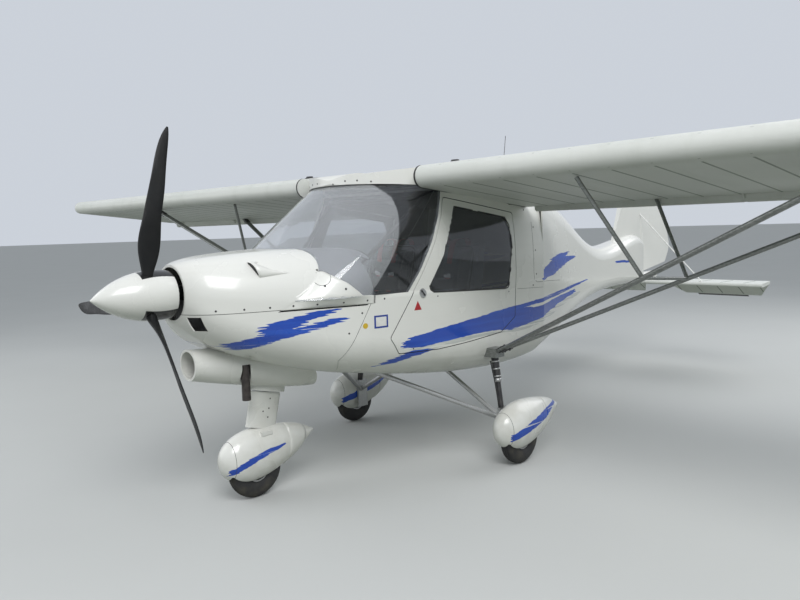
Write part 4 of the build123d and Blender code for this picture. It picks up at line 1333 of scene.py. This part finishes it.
def make_cowl_details(shoulders):
    tree = surface("cowl_upper")
    for name, side in SIDES:
        skin, dark = (bmesh.new() for _ in range(2))
        rows = [blister_row(tree, side, t) for t in evenly(0, 1, 12)]
        base = [[place - normal * 0.002 for place, normal, _ in row] for row in rows]
        add_layers(skin, [[top for _, _, top in row] for row in rows], base)
        piece(f"cowl_blister_{name}", skin, "white_gelcoat")
        # A near-black sheet across the blister's open front: painted shade for the shaded inside of its mouth
        mouth = [place + normal * 0.0010 for place, normal, _ in rows[0][1:-1]]
        lid = [top - normal * 0.0030 for _, normal, top in rows[0][1:-1]]
        add_layers(dark, *([[p + FORWARD * shift for p in row] for row in (mouth, lid)]
                           for shift in (0.0012, -0.002)))
        piece(f"blister_mouth_shade_{name}", dark, "black_seal", smooth=False)
    tree = surface("cowl_upper", meshes=shoulders[:1])
    seam, latches = (bmesh.new() for _ in range(2))
    matrix = frame_at(*photo_hit(tree, *OIL_DOOR_PIXEL), UPWARD)
    ring = [tree.find_nearest(matrix @ Vector((a, b, 0)))[:2] for a, b in circle(48, OIL_DOOR_RADIUS)]
    add_ribbon(seam, ring, 0.0026, closed=True)
    piece("oil_door_seam", seam, "black_seal", smooth=False)
    for px, py in OIL_LATCH_PIXELS:
        add_screw(latches, *photo_hit(tree, px, py), OIL_LATCH_RADIUS)
    piece("oil_door_latches", latches, "black_steel")


# Wheel fairings: node, body, and the wheel's x and y
FAIRINGS = (
    ("nose_pant", "nose_gear", NOSE_WHEEL_X, 0.0),
    ("main_pant_left", "root", MAIN_WHEEL_X, MAIN_WHEEL_Y),
    ("main_pant_right", "root", MAIN_WHEEL_X, -MAIN_WHEEL_Y),
)
TAIL_BACK = -0.345
TAIL_FRONT = -0.201
TAIL_BULGE = 0.0011
SEAM_DX = 0.165
SEAM_MIDDLE_Z = 0.26
TAIL_STEPS = 7
TAIL_LIFT = 0.0014
TAIL_END_LIFT = 0.0004
TAIL_INSET = -0.0040
FAIRING_SCREWS = (3, 12, 21, 30)


def make_gear_details():
    bm = bmesh.new()
    add_screws(bm, surface("nose_leg"), LEG_SCREWS, SMALL_SCREW_RADIUS)
    piece("screws_nose_leg", bm, "black_steel", "nose_gear")
    for node, body, x, y in FAIRINGS:
        tree = surface(node)
        seam, screws = (bmesh.new() for _ in range(2))
        middle = Vector((x + SEAM_DX, y, SEAM_MIDDLE_Z))
        ring = []
        for k, angle in enumerate(evenly(-60, 240, 39)):
            out = Vector((0, cos(radians(angle)), sin(radians(angle))))
            place, normal, _, _ = tree.ray_cast(middle + 0.5 * out, -out)
            if place is not None:
                ring.append((place, normal))
                if k in FAIRING_SCREWS:
                    add_screw(screws, place + Vector((-0.018, 0, 0.004)), normal, 0.004)
        add_ribbon(seam, ring, SHORT_WIDTH)
        piece(f"seam_{node}", seam, "black_seal", body, smooth=False)
        piece(f"screws_{node}", screws, "black_steel", body)


def make_pant_tails():
    """The closed skin of each wheel fairing's tail, where its moulded halves join."""
    for node, body, x, y in FAIRINGS:
        tree = surface(node)
        sizes = []
        for dx in evenly(TAIL_BACK, TAIL_FRONT, TAIL_STEPS):
            top, bottom = (vertical_hit(tree, x + dx, y, above)[0].z for above in (True, False))
            sizes.append((x + dx, (top + bottom) / 2, (top - bottom) / 2))
        back, front = (abs(side_hit(tree, *sizes[k][:2], PORT)[0].y - y) for k in (0, -1))
        rings = []
        for k, half in enumerate(evenly(back, front, TAIL_STEPS)):
            rings.append((*sizes[k], half + TAIL_BULGE * sin(pi * k / TAIL_STEPS)))
        skin = [(ring, TAIL_END_LIFT if ring in (rings[0], rings[-1]) else TAIL_LIFT) for ring in rings]
        skin += [(ring, TAIL_INSET) for ring in reversed(rings)]
        bm = bmesh.new()
        loops = [[bm.verts.new((place_x, y + (half + lift) * a, middle + (height + lift) * b))
                  for a, b in circle(56, 1.0)] for (place_x, middle, height, half), lift in skin]
        join_rings(bm, loops, closed=True)
        piece(f"tail_skin_{node}", bm, "pant_gelcoat", body)


# Floor and light

FLOOR_SIZE = 400.0
FLOOR_CELLS = 8
FLOOR_COLOUR = (0.50, 0.51, 0.50)
# Each lamp's place, aim, size and power
LAMPS = (
    ("key", (5.5, 6.0, 7.5), (0.6, 0.4, 1.0), 5.0, 640),
    ("fill", (6.0, -5.0, 4.0), (0.6, 0.0, 1.0), 6.0, 160),
    ("rear", (-6.0, 3.0, 6.0), (-0.5, 0.0, 1.2), 6.0, 230),
)


def make_studio():
    world = bpy.data.worlds.new("studio")
    scene.world = world
    world.use_nodes = True
    sky = Network(world.node_tree)
    sky.nodes.remove(sky.nodes["Background"])
    light = sky.wire("Background", {0: (0.88, 0.94, 1.0), 1: 0.55})
    backdrop = sky.wire("Background", {0: (0.60, 0.64, 0.70), 1: 1.0})
    shown = sky.wire("MixShader", {0: sky.seen(), 1: light, 2: backdrop})
    sky.feed(sky.nodes["World Output"].inputs["Surface"], shown)
    floor = Finish("studio_floor", FLOOR_COLOUR, 0.9)
    pale = floor.noise(0.7, 4.0).mix(FLOOR_COLOUR, (0.54, 0.55, 0.54))
    floor.set("Base Color", floor.seen().mix((0.22, 0.24, 0.20), pale))
    bm = bmesh.new()
    bmesh.ops.create_grid(bm, x_segments=FLOOR_CELLS, y_segments=FLOOR_CELLS, size=FLOOR_SIZE / 2)
    mesh = ended("studio_floor", bm)
    mesh.materials.append(FINISHES["studio_floor"])
    lamps = [linked("studio_floor", mesh)]
    for name, place, aim, size, power in LAMPS:
        data = bpy.data.lights.new(name, "AREA")
        data.size = size
        data.energy = power
        lamp = linked(name, data)
        way = Vector(aim) - Vector(place)
        lamp.matrix_world = moved(*place) @ way.to_track_quat("-Z", "Y").to_matrix().to_4x4()
        lamps.append(lamp)
    scene.view_settings.view_transform = "Standard"


make_camera()
make_materials()
dress_nodes()
make_wheels()
make_seats()
make_hood()
make_cabin_fittings()
shoulders = make_shoulders()
make_fasteners(shoulders)
make_seams()
make_plates()
make_wing_details()
make_fittings()
make_cowl_details(shoulders)
make_gear_details()
make_pant_tails()
make_studio()
